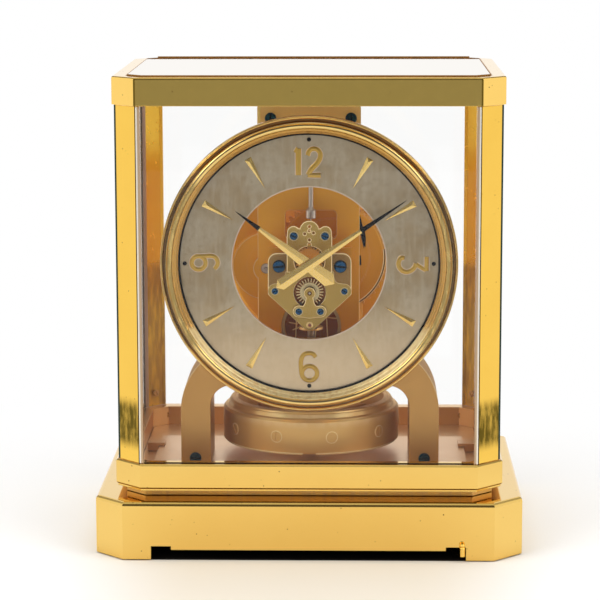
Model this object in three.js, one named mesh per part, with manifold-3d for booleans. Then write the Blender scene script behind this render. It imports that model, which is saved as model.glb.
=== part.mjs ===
// A torsion-pendulum mantel clock in a glazed gilt brass case, wound by a sealed bellows.
// Millimetres, +Z up, the dial faces -Y, origin on the ground under the middle of the plinth.
import * as THREE from "three";
import { mergeVertices } from "three/addons/utils/BufferGeometryUtils.js";
import Module from "manifold-3d";

const wasm = await Module();
wasm.setup();

// Fits
const seat = 0.3; // between two pieces that rest on each other
const running = 0.2; // radial play of an arbor in its hole
const overrun = 1; // how far a cutter passes a face
const weld = 1e-4; // vertices closer than this are one

// Plinth
const plinthWidth = 210;
const plinthDepth = 165;
const plinthCorner = 14.3;
const plinthLift = 0.6;
const plinthTop = 29.2;
const plinthWall = 2.4;
const plinthDeck = 2.6;
const plinthRound = 1.9;
const cutoutMargin = 28.1; // from the plinth's sides to the ends of its cut-out
const cutoutWidth = plinthWidth - cutoutMargin * 2;
const cutoutTop = 5.4;
const notchWidth = 9.8;
const notchTop = 7.2;

// Glazed case
const frameWidth = 191;
const frameDepth = 146;
const frameCorner = 12.9;
const frameRail = 8.6;
const frameBottom = 32.5;
const frameTop = 45.9;
const frameStep = 1.7;
const frameBevel = 0.8;
const riserInset = 5;
const floorTop = 36;
const postInset = 1.3; // posts stand this far in from the lower frame's faces
const postWidth = frameWidth - postInset * 2;
const postDepth = frameDepth - postInset * 2;
const postCorner = 11.6;
const postReturn = 1.6;
const postThickness = 3.4;
const topInset = 0.3; // the upper frame's faces stand this far in from the lower frame's
const topWidth = frameWidth - topInset * 2;
const topDepth = frameDepth - topInset * 2;
const topCorner = 11.7;
const topBottom = 221.4;
const topHeight = 13.7;
const topRound = 1;
const topRail = 10.2;
const topLedge = 2.4;
const glass = 3;
const topGlassProud = 0.6;
const glassSetBack = 0.5;
const frontGrooveDepth = 2;
const frontGlassLift = 5;

// Feet
const footSetBack = 21; // from the plinth's faces to the middle of each foot
const footRadius = 8.5;
const footHeight = 3.6;
const footStem = 2.4;
const footStemTop = 20;
const footBoss = 4.8;
const footBossBottom = 9;
const knurls = 12;
const knurlDepth = 0.5;
const knurlShare = 0.5;

// Pendulum lock
const lockPivotX = 38;
const lockPivotY = -6;
const lockPivotRadius = 1.6;
const lockBoss = 3.6;
const lockPin = 2;
const lockPinTop = 46.4;
const lockGuide = 4.6;
const lockGuideBottom = 15;
const leverTipMargin = 1.9; // from the end of the cut-out
const leverTipX = cutoutWidth / 2 - leverTipMargin;
const leverTipReach = 1.8;
const leverBar = 5;
const leverEnd = 2.4;
const leverThickness = 1.5;
const leverBottom = 3.2;
const leverKnob = 1.35;
const leverKnobTop = 7.5;
const leverNeck = 0.8;
const leverNeckTop = 8.3;
const leverHeadTop = 9.6;
const leverHub = 5.4;
const rampRise = 2.5;
const rampWidth = 5;
const leverSwing = 12; // degrees

// Base of the movement
const baseThickness = 2.4;
const baseMargin = 7.9; // from the base plate's ends to the lower frame's rails
const baseHalf = frameWidth / 2 - frameRail - baseMargin;
const baseFront = -63;
const baseBack = 24;
const clipLength = 9;
const clipWidth = 9;
const clipThickness = 1.6;
const clipGrip = 3;
const clipY = 3;

// Support arch
const archOuter = 64.6;
const archInner = 49.7;
const archFront = -41;
const archBack = -7;
const archTop = 100.3;
const archShoulder = 34.3;
const archUnderside = 79;
const archFillet = 10.7;
const archScrewX = 57.4;
const archScrewZ = 41.9;

// Pendulum and its suspension
const axisY = -4;
const ringRadius = 45;
const ringBore = 37.3;
const ringBottom = 45.2;
const ringShoulder = 62.8;
const ringTop = 66.6;
const ringRim = 2.1;
const ringGroove = 0.7;
const ringNotch = 6.5;
const ringNotchHeight = 1;
const ringLedge = 2;
const ringLedgeTop = 54.4;
const plugCount = 10;
const plugRadius = 2.8;
const plugProud = 0.3;
const plugHeight = 54;
const plugPhase = -3.6; // degrees, the ring's rest place
const crossArms = 4;
const crossWidth = 6;
const crossThickness = 2.4;
const crossHub = 8;
const stemRadius = 2;
const stemHub = 4.6;
const stemHubBottom = 50;
const stemHubTop = 61;
const rollerBottom = 101.2;
const rollerThickness = 1.4;
const rollerRadius = 6.2;
const impulseRadius = 5.2;
const impulsePin = 0.45;
const impulseTop = 106.2;
const clampRadius = 1.5;
const clampTop = 112;
const wireRadius = 0.25;
const wireSides = 6;
const guardBottom = 158.4;
const guardBlockTop = 163;
const guardBlock = 2.6;
const guardRadius = 1.2;
const guardBore = 0.7;

// Bridge plate and suspension bridge
const bridgeHalf = 25.4;
const bridgeFront = 2;
const bridgeBack = 8;
const bridgeBottom = 79.5;
const bridgeTop = 216.3;
const bridgeRound = 2.2;
const windowHalf = 13;
const windowBottom = 147;
const windowTop = 164.6;
const windowRound = 2.4;
const portRadius = 13.7;
const portHeight = 102.8;
const portRim = 1.6;
const portRimDepth = 1.2;
const earRadius = 5.8;
const bridgeFootInner = 15.5;
const bridgeFootTop = 99;
const headFront = -9;
const headHalf = 6;
const headBottom = 192;
const headTop = 203;
const suspensionPlate = 4;
const suspensionScrewX = 20.4;
const suspensionScrewZ = 209.3;

// Movement plates
const handZ = 142.2;
const plateFront = -38;
const plateThickness = 2.5;
const plateHalf = 20.8;
const plateCornerZ = 124.6;
const plateWingZ = 145.4;
const plateWingRound = 4.6;
const plateApexZ = 106.6;
const plateApexRadius = 4.4;
const plateTongueTop = 160.6;
const plateTongueHalf = 10.6;
const backPlateFront = -20;
const pillarX = 15.25;
const pillarZ = 138.8;
const pillarRadius = 2.4;
const lowPillarX = 17.3;
const lowPillarZ = 126.3;
const lowPillarRadius = 1.5;
const escapeWindow = 8;
const cockFront = -43.8;
const cockThickness = 1.5;
const cockHalf = 11.4;
const cockBottom = 136.6;
const cockLobeX = 7.7;
const cockLobeZ = 154.8;
const cockLobeRadius = 3.7;
const cockCrownZ = 158.4;
const cockCrownRadius = 4;
const cockWindow = 7.5;
const cockPost = 1.7;
const cockFootX = 9.6;
const cockFootZ = 138.6;
const escapeCockThickness = 2;
const escapeCockHead = 3.1;
const escapeCockWaist = 1.8;
const escapeCockScrewX = 5.4;
const escapeCockScrewZ = 116.4;
const escapeCockLobe = 3;
const escapeCockBottom = 113.2;

// Train: places of the arbors, tooth counts and pitch radii follow from each other
const escapeZ = 125.6;
const palletZ = 109;
const barrelX = 10;
const barrelZ = 136;
const secondX = -23.2;
const secondZ = 131.6;
const thirdX = -2.53;
const thirdZ = 131.56;
const motionRise = 8.4;
const barrelTeeth = 49;
const secondPinionTeeth = 7;
const secondTeeth = 33;
const thirdPinionTeeth = 6;
const thirdTeeth = 12;
const centrePinionTeeth = 15;
const centreTeeth = 30;
const escapePinionTeeth = 12;
const cannonTeeth = 8;
const motionTeeth = 24;
const motionPinionTeeth = 7;
const hourTeeth = 28;
const escapeTeeth = 24;
const escapeRadius = 6.9;
const escapeTooth = 1.5;
const escapeTipShare = 0.3;
const gearTipShare = 0.2;
const addendumShare = 0.62;
const dedendumShare = 1.25;
const wheelThickness = 1.1;
const pinionLength = 1.5;
const wheelHub = 2.4;
const secondHub = 2.9;
const spokes = 5;
const spokeWidth = 1.5;
const rimShare = 0.84;

// Places of the wheels along the arbors
const hourPlane = -41.7;
const motionPlane = -39.7;
const escapePlane = -34.4;
const centrePlane = -30.2;
const thirdPlane = -24.2;
const secondPlane = 9.6;
const barrelPlane = 13.9;
const greatWheel = 2;
const arborEnd = 1.4;

// Arbors
const centreArbor = 0.75;
const cannonRadius = 1.35;
const cannonBore = 0.95;
const hourPipe = 2;
const hourBore = 1.55;
const thinArbor = 0.5;
const thirdArbor = 0.7;
const secondArbor = 1;
const barrelArbor = 2;
const motionArbor = 0.5;

// Pallet lever
const palletArmWidth = 1.3;
const palletAngle = 38; // degrees from straight down, seen from the escape arbor
const palletGap = 0.5;
const palletStone = 0.9;
const crutchY = -15.6;
const crutchThickness = 1;
const crutchHalf = 2.5;
const crutchProng = 0.8;
const crutchLow = 103.2;
const crutchDepth = 1.8;
const crutchWaist = 1.1;
const crutchTipGap = 0.65;

// Barrel
const barrelDrum = 27.8;
const barrelBack = 23.4;
const barrelWall = 1.6;
const barrelFloor = 1.4;
const barrelStepShare = 0.72;
const barrelStep = 0.7;
const barrelHub = 5;
const springTurns = 4;
const springStrip = 0.9;
const springSteps = 36;

// Rear plate and bellows
const rearPlateFront = 25.4;
const rearPlateThickness = 2.5;
const rearPlateHalf = 26.5;
const rearPlateReach = 37; // above and below the barrel's arbor
const rearPlateBottom = barrelZ - rearPlateReach;
const rearPlateTop = barrelZ + rearPlateReach;
const rearPillarX = 22;
const rearPillarRise = 32;
const rearPillarRadius = 2.4;
const ratchetRadius = 8;
const ratchetTeeth = 12;
const ratchetTooth = 0.9;
const housingRadius = 42;
const housingZ = 134;
const housingFront = 34;
const housingBack = 63;
const housingWall = 1.6;
const housingRound = 3;
const housingCollar = 24;
const housingMouth = 13.5;
const bellowsRadius = 37;
const bellowsInner = 31;
const bellowsFolds = 3;
const capStroke = 2;
const bellowsFront = housingFront + housingWall + housingRound + capStroke;
const capRadius = 17;
const capNose = 11;
const capThickness = 2;
const capNoseFront = 32.4;

// Dial and bezel
const hours = 12;
const hoursPerNumeral = 3;
const dialInner = 37.8;
const dialOuter = 65.8;
const dialFront = -51;
const dialThickness = 1.2;
const markerInner = 42.6;
const markerOuter = 59.8;
const markerWidth = 3.6;
const markerHeight = 0.8;
const dialPillar = 2;
const dialPillarX = 20;
const dialPillarHigh = 188;
const dialPillarLow = 95;
const bezelRadius = 73.1;
const bezelInner = 63.6;
const bezelFront = -60.4;
const bezelBack = -50.2;
const bezelFlange = 2.2;
const bezelGroove = 1.5;
const bezelBand = 4.4;

// Hands
const minuteLength = 57.6;
const minuteWidth = 5.8;
const minuteTail = 16.6;
const minuteTailPoint = 19.2;
const minuteAngle = 55.9; // degrees clockwise from twelve
const minutePlane = -58.9;
const hourLength = 44.6;
const hourWidth = 7.4;
const hourTail = 12.2;
const hourTailPoint = 15.5;
const hourAngle = 306.5; // degrees clockwise from twelve
const hourHandPlane = -56.6;
const handThickness = 0.5;
const handRidge = 0.7;

// Screws
const screwHead = 2.9;
const screwHeadHeight = 1.1;
const screwShank = 1.4;
const screwDepth = 5;
const screwSlot = 0.7;
const screwSlotDepth = 0.5;

// Facets
const fine = 36;
const medium = 20;
const coarse = 12;
const small = 8;
const arcSteps = 3;
const roundSteps = 3;
const spokeSteps = 1;

const degrees = Math.PI / 180;
const topTop = topBottom + topHeight;
const baseTop = floorTop + seat + baseThickness;
const plateBack = plateFront + plateThickness;
const backPlateBack = backPlateFront + plateThickness;
const rearPlateBack = rearPlateFront + rearPlateThickness;

// Materials
function metal(color, roughness) {
  return new THREE.MeshStandardMaterial({ color, roughness, metalness: 1 });
}
const materials = {
  gilt: metal(0xe0b04a, 0.12),
  matt: metal(0xc98f5c, 0.45),
  plate: metal(0xcfa866, 0.35),
  steel: metal(0xb8b8bc, 0.25),
  blued: metal(0x16324f, 0.25),
  silvered: new THREE.MeshStandardMaterial({ color: 0xa8a08c, roughness: 0.6, metalness: 0.4 }),
  glass: new THREE.MeshStandardMaterial({
    color: 0xf2f7f5,
    roughness: 0.02,
    metalness: 0,
    transparent: true,
    opacity: 0.15,
  }),
};

// Solids
function solidOf(geometry) {
  const loose = geometry.index ? geometry.toNonIndexed() : geometry;
  const bare = new THREE.BufferGeometry();
  bare.setAttribute("position", loose.getAttribute("position"));
  const merged = mergeVertices(bare, weld);
  const kept = [];
  const index = merged.index.array;
  for (let i = 0; i < index.length; i += 3) {
    const [a, b, c] = index.subarray(i, i + 3);
    if (a !== b && b !== c && c !== a) kept.push(a, b, c);
  }
  const vertProperties = merged.attributes.position.array;
  const made = new wasm.Manifold(
    new wasm.Mesh({ numProp: 3, vertProperties, triVerts: new Uint32Array(kept) }),
  );
  if (made.volume() >= 0) return made;
  for (let i = 0; i < kept.length; i += 3) [kept[i + 1], kept[i + 2]] = [kept[i + 2], kept[i + 1]];
  return new wasm.Manifold(
    new wasm.Mesh({ numProp: 3, vertProperties, triVerts: new Uint32Array(kept) }),
  );
}

function geometryOf(solid) {
  const mesh = solid.getMesh();
  const geometry = new THREE.BufferGeometry();
  geometry.setAttribute("position", new THREE.BufferAttribute(new Float32Array(mesh.vertProperties), 3));
  geometry.setIndex(new THREE.BufferAttribute(new Uint32Array(mesh.triVerts), 1));
  const flat = geometry.toNonIndexed();
  flat.computeVertexNormals();
  return flat;
}

function joined(...solids) {
  return solids.reduce((whole, next) => whole.add(next));
}

function cut(solid, ...cutters) {
  return cutters.reduce((left, next) => left.subtract(next), solid);
}

// A block between two corners
function box(x0, x1, y0, y1, z0, z1) {
  const geometry = new THREE.BoxGeometry(x1 - x0, y1 - y0, z1 - z0);
  geometry.translate((x0 + x1) / 2, (y0 + y1) / 2, (z0 + z1) / 2);
  return solidOf(geometry);
}

// An outline drawn in X and Y, raised from z0 to z1
function raised(shape, z0, z1, curveSegments = arcSteps) {
  const geometry = new THREE.ExtrudeGeometry(shape, { depth: z1 - z0, bevelEnabled: false, curveSegments });
  geometry.translate(0, 0, z0);
  return solidOf(geometry);
}

// An outline drawn in X and Z, as seen from the front, from y0 back to y1
function upright(shape, y0, y1, curveSegments = arcSteps) {
  const geometry = new THREE.ExtrudeGeometry(shape, { depth: y1 - y0, bevelEnabled: false, curveSegments });
  geometry.rotateX(Math.PI / 2);
  geometry.translate(0, y1, 0);
  return solidOf(geometry);
}

// A turned piece with a level axis that runs front to back: points are [radius, y]
function turnedLevel(points, x, z, segments = medium) {
  const profile = points.map(([r, y]) => new THREE.Vector2(r, y));
  const geometry = new THREE.LatheGeometry(profile, segments);
  geometry.translate(x, 0, z);
  return solidOf(geometry);
}

// A turned piece with a standing axis: points are [radius, z]
function turnedUpright(points, x, y, segments = medium) {
  const profile = points.map(([r, z]) => new THREE.Vector2(r, z));
  const geometry = new THREE.LatheGeometry(profile, segments);
  geometry.rotateX(Math.PI / 2);
  geometry.translate(x, y, 0);
  return solidOf(geometry);
}

function rodLevel(radius, y0, y1, x, z, segments = small) {
  return turnedLevel([[0, y0], [radius, y0], [radius, y1], [0, y1]], x, z, segments);
}

function rodUpright(radius, z0, z1, x, y, segments = small) {
  return turnedUpright([[0, z0], [radius, z0], [radius, z1], [0, z1]], x, y, segments);
}

function pipeLevel(outer, inner, y0, y1, x, z, segments = coarse) {
  return turnedLevel([[inner, y0], [outer, y0], [outer, y1], [inner, y1], [inner, y0]], x, z, segments);
}

// The eight corners of an oblong with its corners cut off, drawn in by an inset
function eightCorners(width, depth, corner, inset) {
  const x = width / 2 - inset;
  const y = depth / 2 - inset;
  const c = corner - inset * (2 - Math.SQRT2);
  return [
    [x - c, -y], [x, c - y], [x, y - c], [x - c, y],
    [c - x, y], [-x, y - c], [-x, c - y], [c - x, -y],
  ];
}

// An eight-cornered block whose side profile is a list of [inset, z], lowest first
function eightSided(width, depth, corner, profile) {
  const positions = [];
  const rings = profile.map(([inset, z]) => {
    const corners = eightCorners(width, depth, corner, inset);
    return corners.map(([x, y]) => [x, y, z]);
  });
  rings.forEach((ring) => ring.forEach((point) => positions.push(...point)));
  const sides = rings[0].length;
  const index = [];
  for (let i = 1; i < sides - 1; i++) {
    const last = (rings.length - 1) * sides;
    index.push(0, i + 1, i, last, last + i, last + i + 1);
  }
  for (let r = 0; r < rings.length - 1; r++) {
    for (let i = 0; i < sides; i++) {
      const a = r * sides + i;
      const b = r * sides + ((i + 1) % sides);
      index.push(a, b, b + sides, a, b + sides, a + sides);
    }
  }
  const geometry = new THREE.BufferGeometry();
  geometry.setAttribute("position", new THREE.BufferAttribute(new Float32Array(positions), 3));
  geometry.setIndex(index);
  return solidOf(geometry);
}

// Rounded-over top edge as [inset, z] steps
function roundedTop(radius, top) {
  return Array.from({ length: roundSteps + 1 }, (_, i) => {
    const angle = (i / roundSteps) * (Math.PI / 2);
    return [radius * (1 - Math.cos(angle)), top - radius * (1 - Math.sin(angle))];
  });
}

// Toothed outline round (x, z) with a tooth pointing along the angle
function toothedShape(teeth, tipRadius, rootRadius, x, z, angle, tipShare = gearTipShare) {
  const shape = new THREE.Shape();
  const step = (2 * Math.PI) / teeth;
  for (let i = 0; i < teeth; i++) {
    const middle = angle + i * step;
    const corners = [
      [tipRadius, middle - (step * tipShare) / 2],
      [tipRadius, middle + (step * tipShare) / 2],
      [rootRadius, middle + step / 2],
    ];
    corners.forEach(([r, a], j) => {
      const point = [x + r * Math.cos(a), z + r * Math.sin(a)];
      if (i + j === 0) shape.moveTo(...point);
      else shape.lineTo(...point);
    });
  }
  shape.closePath();
  return shape;
}

// Openings between the spokes of a wheel
function spokeOpenings(x, z, hub, rim, count, width) {
  return Array.from({ length: count }, (_, i) => {
    const start = (i * 2 * Math.PI) / count;
    const end = ((i + 1) * 2 * Math.PI) / count;
    const outer = Math.asin(width / 2 / rim);
    const inner = Math.asin(width / 2 / hub);
    const path = new THREE.Path();
    path.absarc(x, z, rim, start + outer, end - outer, false);
    path.absarc(x, z, hub, end - inner, start + inner, true);
    path.closePath();
    return path;
  });
}

// A gear of a meshing pair: the pitch radius comes from the distance of the two arbors.
// The lead gear has a tooth on the line between them, the other one a gap.
function gearOutline(pair, side) {
  const [self, other] = side === "lead" ? [pair.lead, pair.led] : [pair.led, pair.lead];
  const dx = other.x - self.x;
  const dz = other.z - self.z;
  const gearModule = (2 * Math.hypot(dx, dz)) / (self.teeth + other.teeth);
  const pitch = (gearModule * self.teeth) / 2;
  const gapTurn = side === "lead" ? 0 : Math.PI / self.teeth;
  const angle = Math.atan2(dz, dx) + gapTurn;
  const tip = pitch + gearModule * addendumShare;
  const root = pitch - gearModule * dedendumShare;
  return { shape: toothedShape(self.teeth, tip, root, self.x, self.z, angle), root, tip, pitch };
}

function pairOf(leadPlace, leadTeeth, ledPlace, ledTeeth) {
  return {
    lead: { ...leadPlace, teeth: leadTeeth },
    led: { ...ledPlace, teeth: ledTeeth },
  };
}

const centrePlace = { x: 0, z: handZ };
const escapePlace = { x: 0, z: escapeZ };
const barrelPlace = { x: barrelX, z: barrelZ };
const secondPlace = { x: secondX, z: secondZ };
const thirdPlace = { x: thirdX, z: thirdZ };
const motionPlace = { x: 0, z: handZ + motionRise };

const barrelPair = pairOf(barrelPlace, barrelTeeth, secondPlace, secondPinionTeeth);
const secondPair = pairOf(secondPlace, secondTeeth, thirdPlace, thirdPinionTeeth);
const thirdPair = pairOf(thirdPlace, thirdTeeth, centrePlace, centrePinionTeeth);
const centrePair = pairOf(centrePlace, centreTeeth, escapePlace, escapePinionTeeth);
const cannonPair = pairOf(centrePlace, cannonTeeth, motionPlace, motionTeeth);
const hourPair = pairOf(motionPlace, motionPinionTeeth, centrePlace, hourTeeth);

// A spoked wheel cut from a gear outline
function spokedWheel(outline, place, y0, y1, hub = wheelHub) {
  const rim = outline.root * rimShare;
  outline.shape.holes.push(...spokeOpenings(place.x, place.z, hub, rim, spokes, spokeWidth));
  return upright(outline.shape, y0, y1, spokeSteps);
}

// Case
function buildPlinth() {
  const top = roundedTop(plinthRound, plinthTop);
  const outside = eightSided(plinthWidth, plinthDepth, plinthCorner, [[0, plinthLift], ...top]);
  const inside = eightSided(plinthWidth, plinthDepth, plinthCorner, [
    [plinthWall, plinthLift - overrun],
    [plinthWall, plinthTop - plinthDeck],
  ]);
  const front = -plinthDepth / 2;
  const half = cutoutWidth / 2;
  const wall = [front - overrun, front + plinthWall + overrun];
  const openings = [
    box(-half, half, ...wall, plinthLift - overrun, cutoutTop),
    box(-half, notchWidth - half, ...wall, plinthLift - overrun, notchTop),
    box(half - notchWidth, half, ...wall, plinthLift - overrun, notchTop),
  ];
  const shell = cut(outside, inside, ...openings);
  const under = plinthTop - plinthDeck - seat;
  const inDeck = plinthTop - plinthDeck / 2;
  const bosses = footPlaces().map(([x, y]) => rodUpright(footBoss, footBossBottom, inDeck, x, y, coarse));
  const bores = footPlaces().map(([x, y]) =>
    rodUpright(footStem + running, footBossBottom - overrun, under, x, y, small),
  );
  const pivotTop = leverBottom + leverThickness + seat;
  const pivotHead = leverBottom - seat;
  const pivot = joined(
    rodUpright(lockBoss, pivotTop, inDeck, lockPivotX, lockPivotY, coarse),
    rodUpright(lockPivotRadius, pivotHead, inDeck, lockPivotX, lockPivotY, small),
    rodUpright(leverHub / 2, pivotHead - screwHeadHeight, pivotHead, lockPivotX, lockPivotY, small),
  );
  const guide = rodUpright(lockGuide, lockGuideBottom, inDeck, 0, axisY, coarse);
  const guideBore = pinBore(lockGuideBottom - overrun, plinthTop + overrun);
  return cut(joined(shell, ...bosses, pivot, guide), ...bores, guideBore);
}

// Hole that the lock pin slides in, through whatever it passes
function pinBore(z0, z1) {
  return rodUpright(lockPin + running, z0, z1, 0, axisY, coarse);
}

function footPlaces() {
  const x = plinthWidth / 2 - footSetBack;
  const y = plinthDepth / 2 - footSetBack;
  return [[-x, -y], [x, -y], [0, y]];
}

// Round foot on a stem; the two front ones are knurled to be turned by hand
function buildFoot([x, y], knurled) {
  const shape = new THREE.Shape();
  const stem = rodUpright(footStem, footHeight / 2, footStemTop, x, y, small);
  if (knurled) {
    const rim = toothedShape(knurls, footRadius, footRadius - knurlDepth, x, y, 0, knurlShare);
    return joined(raised(rim, 0, footHeight), stem);
  }
  shape.absarc(x, y, footRadius, 0, 2 * Math.PI, false);
  return joined(raised(shape, 0, footHeight, coarse), stem);
}

// Stepped floor: its lower part lifts the glazed case off the plinth
function buildFloor() {
  const low = plinthTop + seat;
  const step = frameBottom - seat;
  const solid = eightSided(frameWidth, frameDepth, frameCorner, [[riserInset, low], [riserInset, step]]);
  const upper = eightSided(frameWidth, frameDepth, frameCorner, [
    [frameRail + seat, low],
    [frameRail + seat, floorTop],
  ]);
  return cut(joined(solid, upper), pinBore(low - overrun, floorTop + overrun));
}

// Groove that takes the lift-out front pane, cut into a rail from z0 to z1
function frontGroove(z0, z1) {
  const y = -postDepth / 2 + glassSetBack;
  const half = frontPaneHalf() + seat;
  return box(-half, half, y - seat, y + glass + seat, z0, z1);
}

function frontPaneHalf() {
  return postWidth / 2 - postCorner - postReturn - seat;
}

function buildLowerFrame() {
  const outside = eightSided(frameWidth, frameDepth, frameCorner, [
    [frameBevel, frameBottom],
    [frameBevel, frameBottom + frameStep - frameBevel],
    [0, frameBottom + frameStep],
    [0, frameTop - frameBevel],
    [frameBevel, frameTop],
  ]);
  const inside = eightSided(frameWidth, frameDepth, frameCorner, [
    [frameRail, frameBottom - overrun],
    [frameRail, frameTop + overrun],
  ]);
  return cut(outside, inside, frontGroove(frameTop - frontGrooveDepth - seat, frameTop + overrun));
}

function buildUpperFrame() {
  const edge = roundedTop(topRound, topTop);
  const outside = eightSided(topWidth, topDepth, topCorner, [[0, topBottom], ...edge]);
  const inside = eightSided(topWidth, topDepth, topCorner, [
    [topRail, topBottom - overrun],
    [topRail, topTop + overrun],
  ]);
  const rebate = eightSided(topWidth, topDepth, topCorner, [
    [topRail - topLedge - seat, topTop + topGlassProud - glass - seat],
    [topRail - topLedge - seat, topTop + overrun],
  ]);
  const groove = frontGroove(topBottom - overrun, topBottom + frontGrooveDepth + frontGlassLift + seat);
  return cut(outside, inside, rebate, groove);
}

function buildTopGlass() {
  return eightSided(topWidth, topDepth, topCorner, [
    [topRail - topLedge, topTop + topGlassProud - glass],
    [topRail - topLedge, topTop + topGlassProud],
  ]);
}

// Corner post: a strip across the cut corner with a short return on either side
function buildPost(signX, signY) {
  const x = postWidth / 2;
  const y = postDepth / 2;
  const c = postCorner;
  const t = postThickness;
  const r = postReturn;
  const points = [
    [x - c - r, y], [x - c, y], [x, y - c], [x, y - c - r],
    [x - t, y - c - r], [x - t, y - c - r + t / 2], [x - c - r + t / 2, y - t], [x - c - r, y - t],
  ];
  const shape = new THREE.Shape(points.map(([px, py]) => new THREE.Vector2(signX * px, signY * py)));
  return raised(shape, frameTop + seat, topBottom - seat);
}

function sidePane(sign) {
  const outer = postWidth / 2 - glassSetBack;
  const half = postDepth / 2 - postCorner - postReturn - seat;
  const [x0, x1] = sign > 0 ? [outer - glass, outer] : [-outer, glass - outer];
  return box(x0, x1, -half, half, frameTop + seat, topBottom - seat);
}

function rearPane() {
  const outer = postDepth / 2 - glassSetBack;
  const half = frontPaneHalf();
  return box(-half, half, outer - glass, outer, frameTop + seat, topBottom - seat);
}

function frontPane() {
  const outer = glassSetBack - postDepth / 2;
  const half = frontPaneHalf();
  return box(-half, half, outer, outer + glass, frameTop - frontGrooveDepth, topBottom + frontGrooveDepth);
}

// Pendulum lock
function buildLockLever() {
  const z0 = leverBottom;
  const z1 = leverBottom + leverThickness;
  const tipY = -plinthDepth / 2 - leverTipReach;
  const along = Math.atan2(tipY - lockPivotY, leverTipX - lockPivotX);
  const quarter = Math.PI / 2;
  const side = (x, y, reach, angle) =>
    new THREE.Vector2(x + reach * Math.cos(angle), y + reach * Math.sin(angle));
  const bar = new THREE.Shape([
    side(lockPivotX, lockPivotY, leverBar / 2, along - quarter),
    side(leverTipX, tipY, leverEnd / 2, along - quarter),
    side(leverTipX, tipY, leverEnd / 2, along + quarter),
    side(lockPivotX, lockPivotY, leverBar / 2, along + quarter),
  ]);
  const arm = box(-rampWidth / 2, lockPivotX, lockPivotY - leverBar / 2, lockPivotY + leverBar / 2, z0, z1);
  const travel = lockPivotX * leverSwing * degrees;
  const low = axisY - lockPin;
  const high = low - travel;
  const ramp = new THREE.Shape([
    new THREE.Vector2(axisY + lockPin, z0), new THREE.Vector2(axisY + lockPin, z1),
    new THREE.Vector2(low, z1), new THREE.Vector2(high, z1 + rampRise),
    new THREE.Vector2(high - lockPin, z1 + rampRise), new THREE.Vector2(high - lockPin, z0),
  ]);
  const rampGeometry = new THREE.ExtrudeGeometry(ramp, { depth: rampWidth, bevelEnabled: false });
  rampGeometry.rotateX(quarter);
  rampGeometry.rotateZ(quarter);
  rampGeometry.translate(-rampWidth / 2, 0, 0);
  const hub = rodUpright(leverHub, z0, z1, lockPivotX, lockPivotY, coarse);
  const knob = turnedUpright(
    [
      [0, z0], [leverKnob, z0], [leverKnob, leverKnobTop], [leverNeck, leverKnobTop + leverKnob - leverNeck],
      [leverNeck, leverNeckTop], [leverKnob, leverNeckTop], [leverKnob, leverHeadTop - leverKnob / 2],
      [leverKnob / 2, leverHeadTop], [0, leverHeadTop],
    ],
    leverTipX, tipY, small,
  );
  const boreRadius = lockPivotRadius + running;
  const bore = rodUpright(boreRadius, z0 - overrun, z1 + overrun, lockPivotX, lockPivotY, coarse);
  return cut(joined(raised(bar, z0, z1), arm, solidOf(rampGeometry), hub, knob), bore);
}

function buildLockPin() {
  const bottom = leverBottom + leverThickness + seat;
  return turnedUpright(
    [
      [0, bottom], [lockPin, bottom], [lockPin, lockPinTop - lockPin / 2],
      [lockPin / 2, lockPinTop], [0, lockPinTop],
    ],
    0, axisY, coarse,
  );
}

// Base plate of the movement and the clips that hold its ends down
function buildBase() {
  const bottom = floorTop + seat;
  const plate = box(-baseHalf, baseHalf, baseFront, baseBack, bottom, baseTop);
  return cut(plate, pinBore(bottom - overrun, baseTop + overrun));
}

function buildClip(sign) {
  const edge = baseHalf;
  const y0 = clipY - clipLength / 2;
  const y1 = clipY + clipLength / 2;
  const inner = edge - clipGrip;
  const outer = inner + clipWidth;
  const foot = edge + seat;
  const topZ = baseTop + seat + clipThickness;
  const span = (a, b) => (sign > 0 ? [a, b] : [-b, -a]);
  return joined(
    box(...span(inner, outer), y0, y1, baseTop + seat, topZ),
    box(...span(foot, outer), y0, y1, floorTop + seat, topZ),
  );
}

// Arch that carries the movement over the pendulum
function buildArch() {
  const foot = baseTop + seat;
  const shape = new THREE.Shape();
  shape.moveTo(-archOuter, foot);
  shape.lineTo(-archInner, foot);
  shape.lineTo(-archInner, archUnderside - archFillet);
  shape.absarc(archFillet - archInner, archUnderside - archFillet, archFillet, Math.PI, Math.PI / 2, true);
  shape.absarc(archInner - archFillet, archUnderside - archFillet, archFillet, Math.PI / 2, 0, true);
  shape.lineTo(archInner, foot);
  shape.lineTo(archOuter, foot);
  shape.absarc(archOuter - archShoulder, archTop - archShoulder, archShoulder, 0, Math.PI / 2, false);
  shape.absarc(archShoulder - archOuter, archTop - archShoulder, archShoulder, Math.PI / 2, Math.PI, false);
  shape.closePath();
  const holes = [-archScrewX, archScrewX].map((x) => screwHole(x, archScrewZ, archFront));
  return cut(upright(shape, archFront, archBack, small), ...holes);
}

// Slotted screw from the front, and the blind hole it sits in
function screwHole(x, z, face) {
  return rodLevel(screwShank + running, face - overrun, face + screwDepth + seat, x, z, small);
}

function buildScrew(x, z, face) {
  const head = face - seat;
  const body = joined(
    rodLevel(screwHead, head - screwHeadHeight, head, x, z, coarse),
    rodLevel(screwShank, head - screwHeadHeight / 2, face + screwDepth, x, z, small),
  );
  const slotBack = head - screwHeadHeight + screwSlotDepth;
  const slot = box(
    x - screwHead - overrun, x + screwHead + overrun,
    head - screwHeadHeight - overrun, slotBack,
    z - screwSlot / 2, z + screwSlot / 2,
  );
  return cut(body, slot);
}

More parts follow.
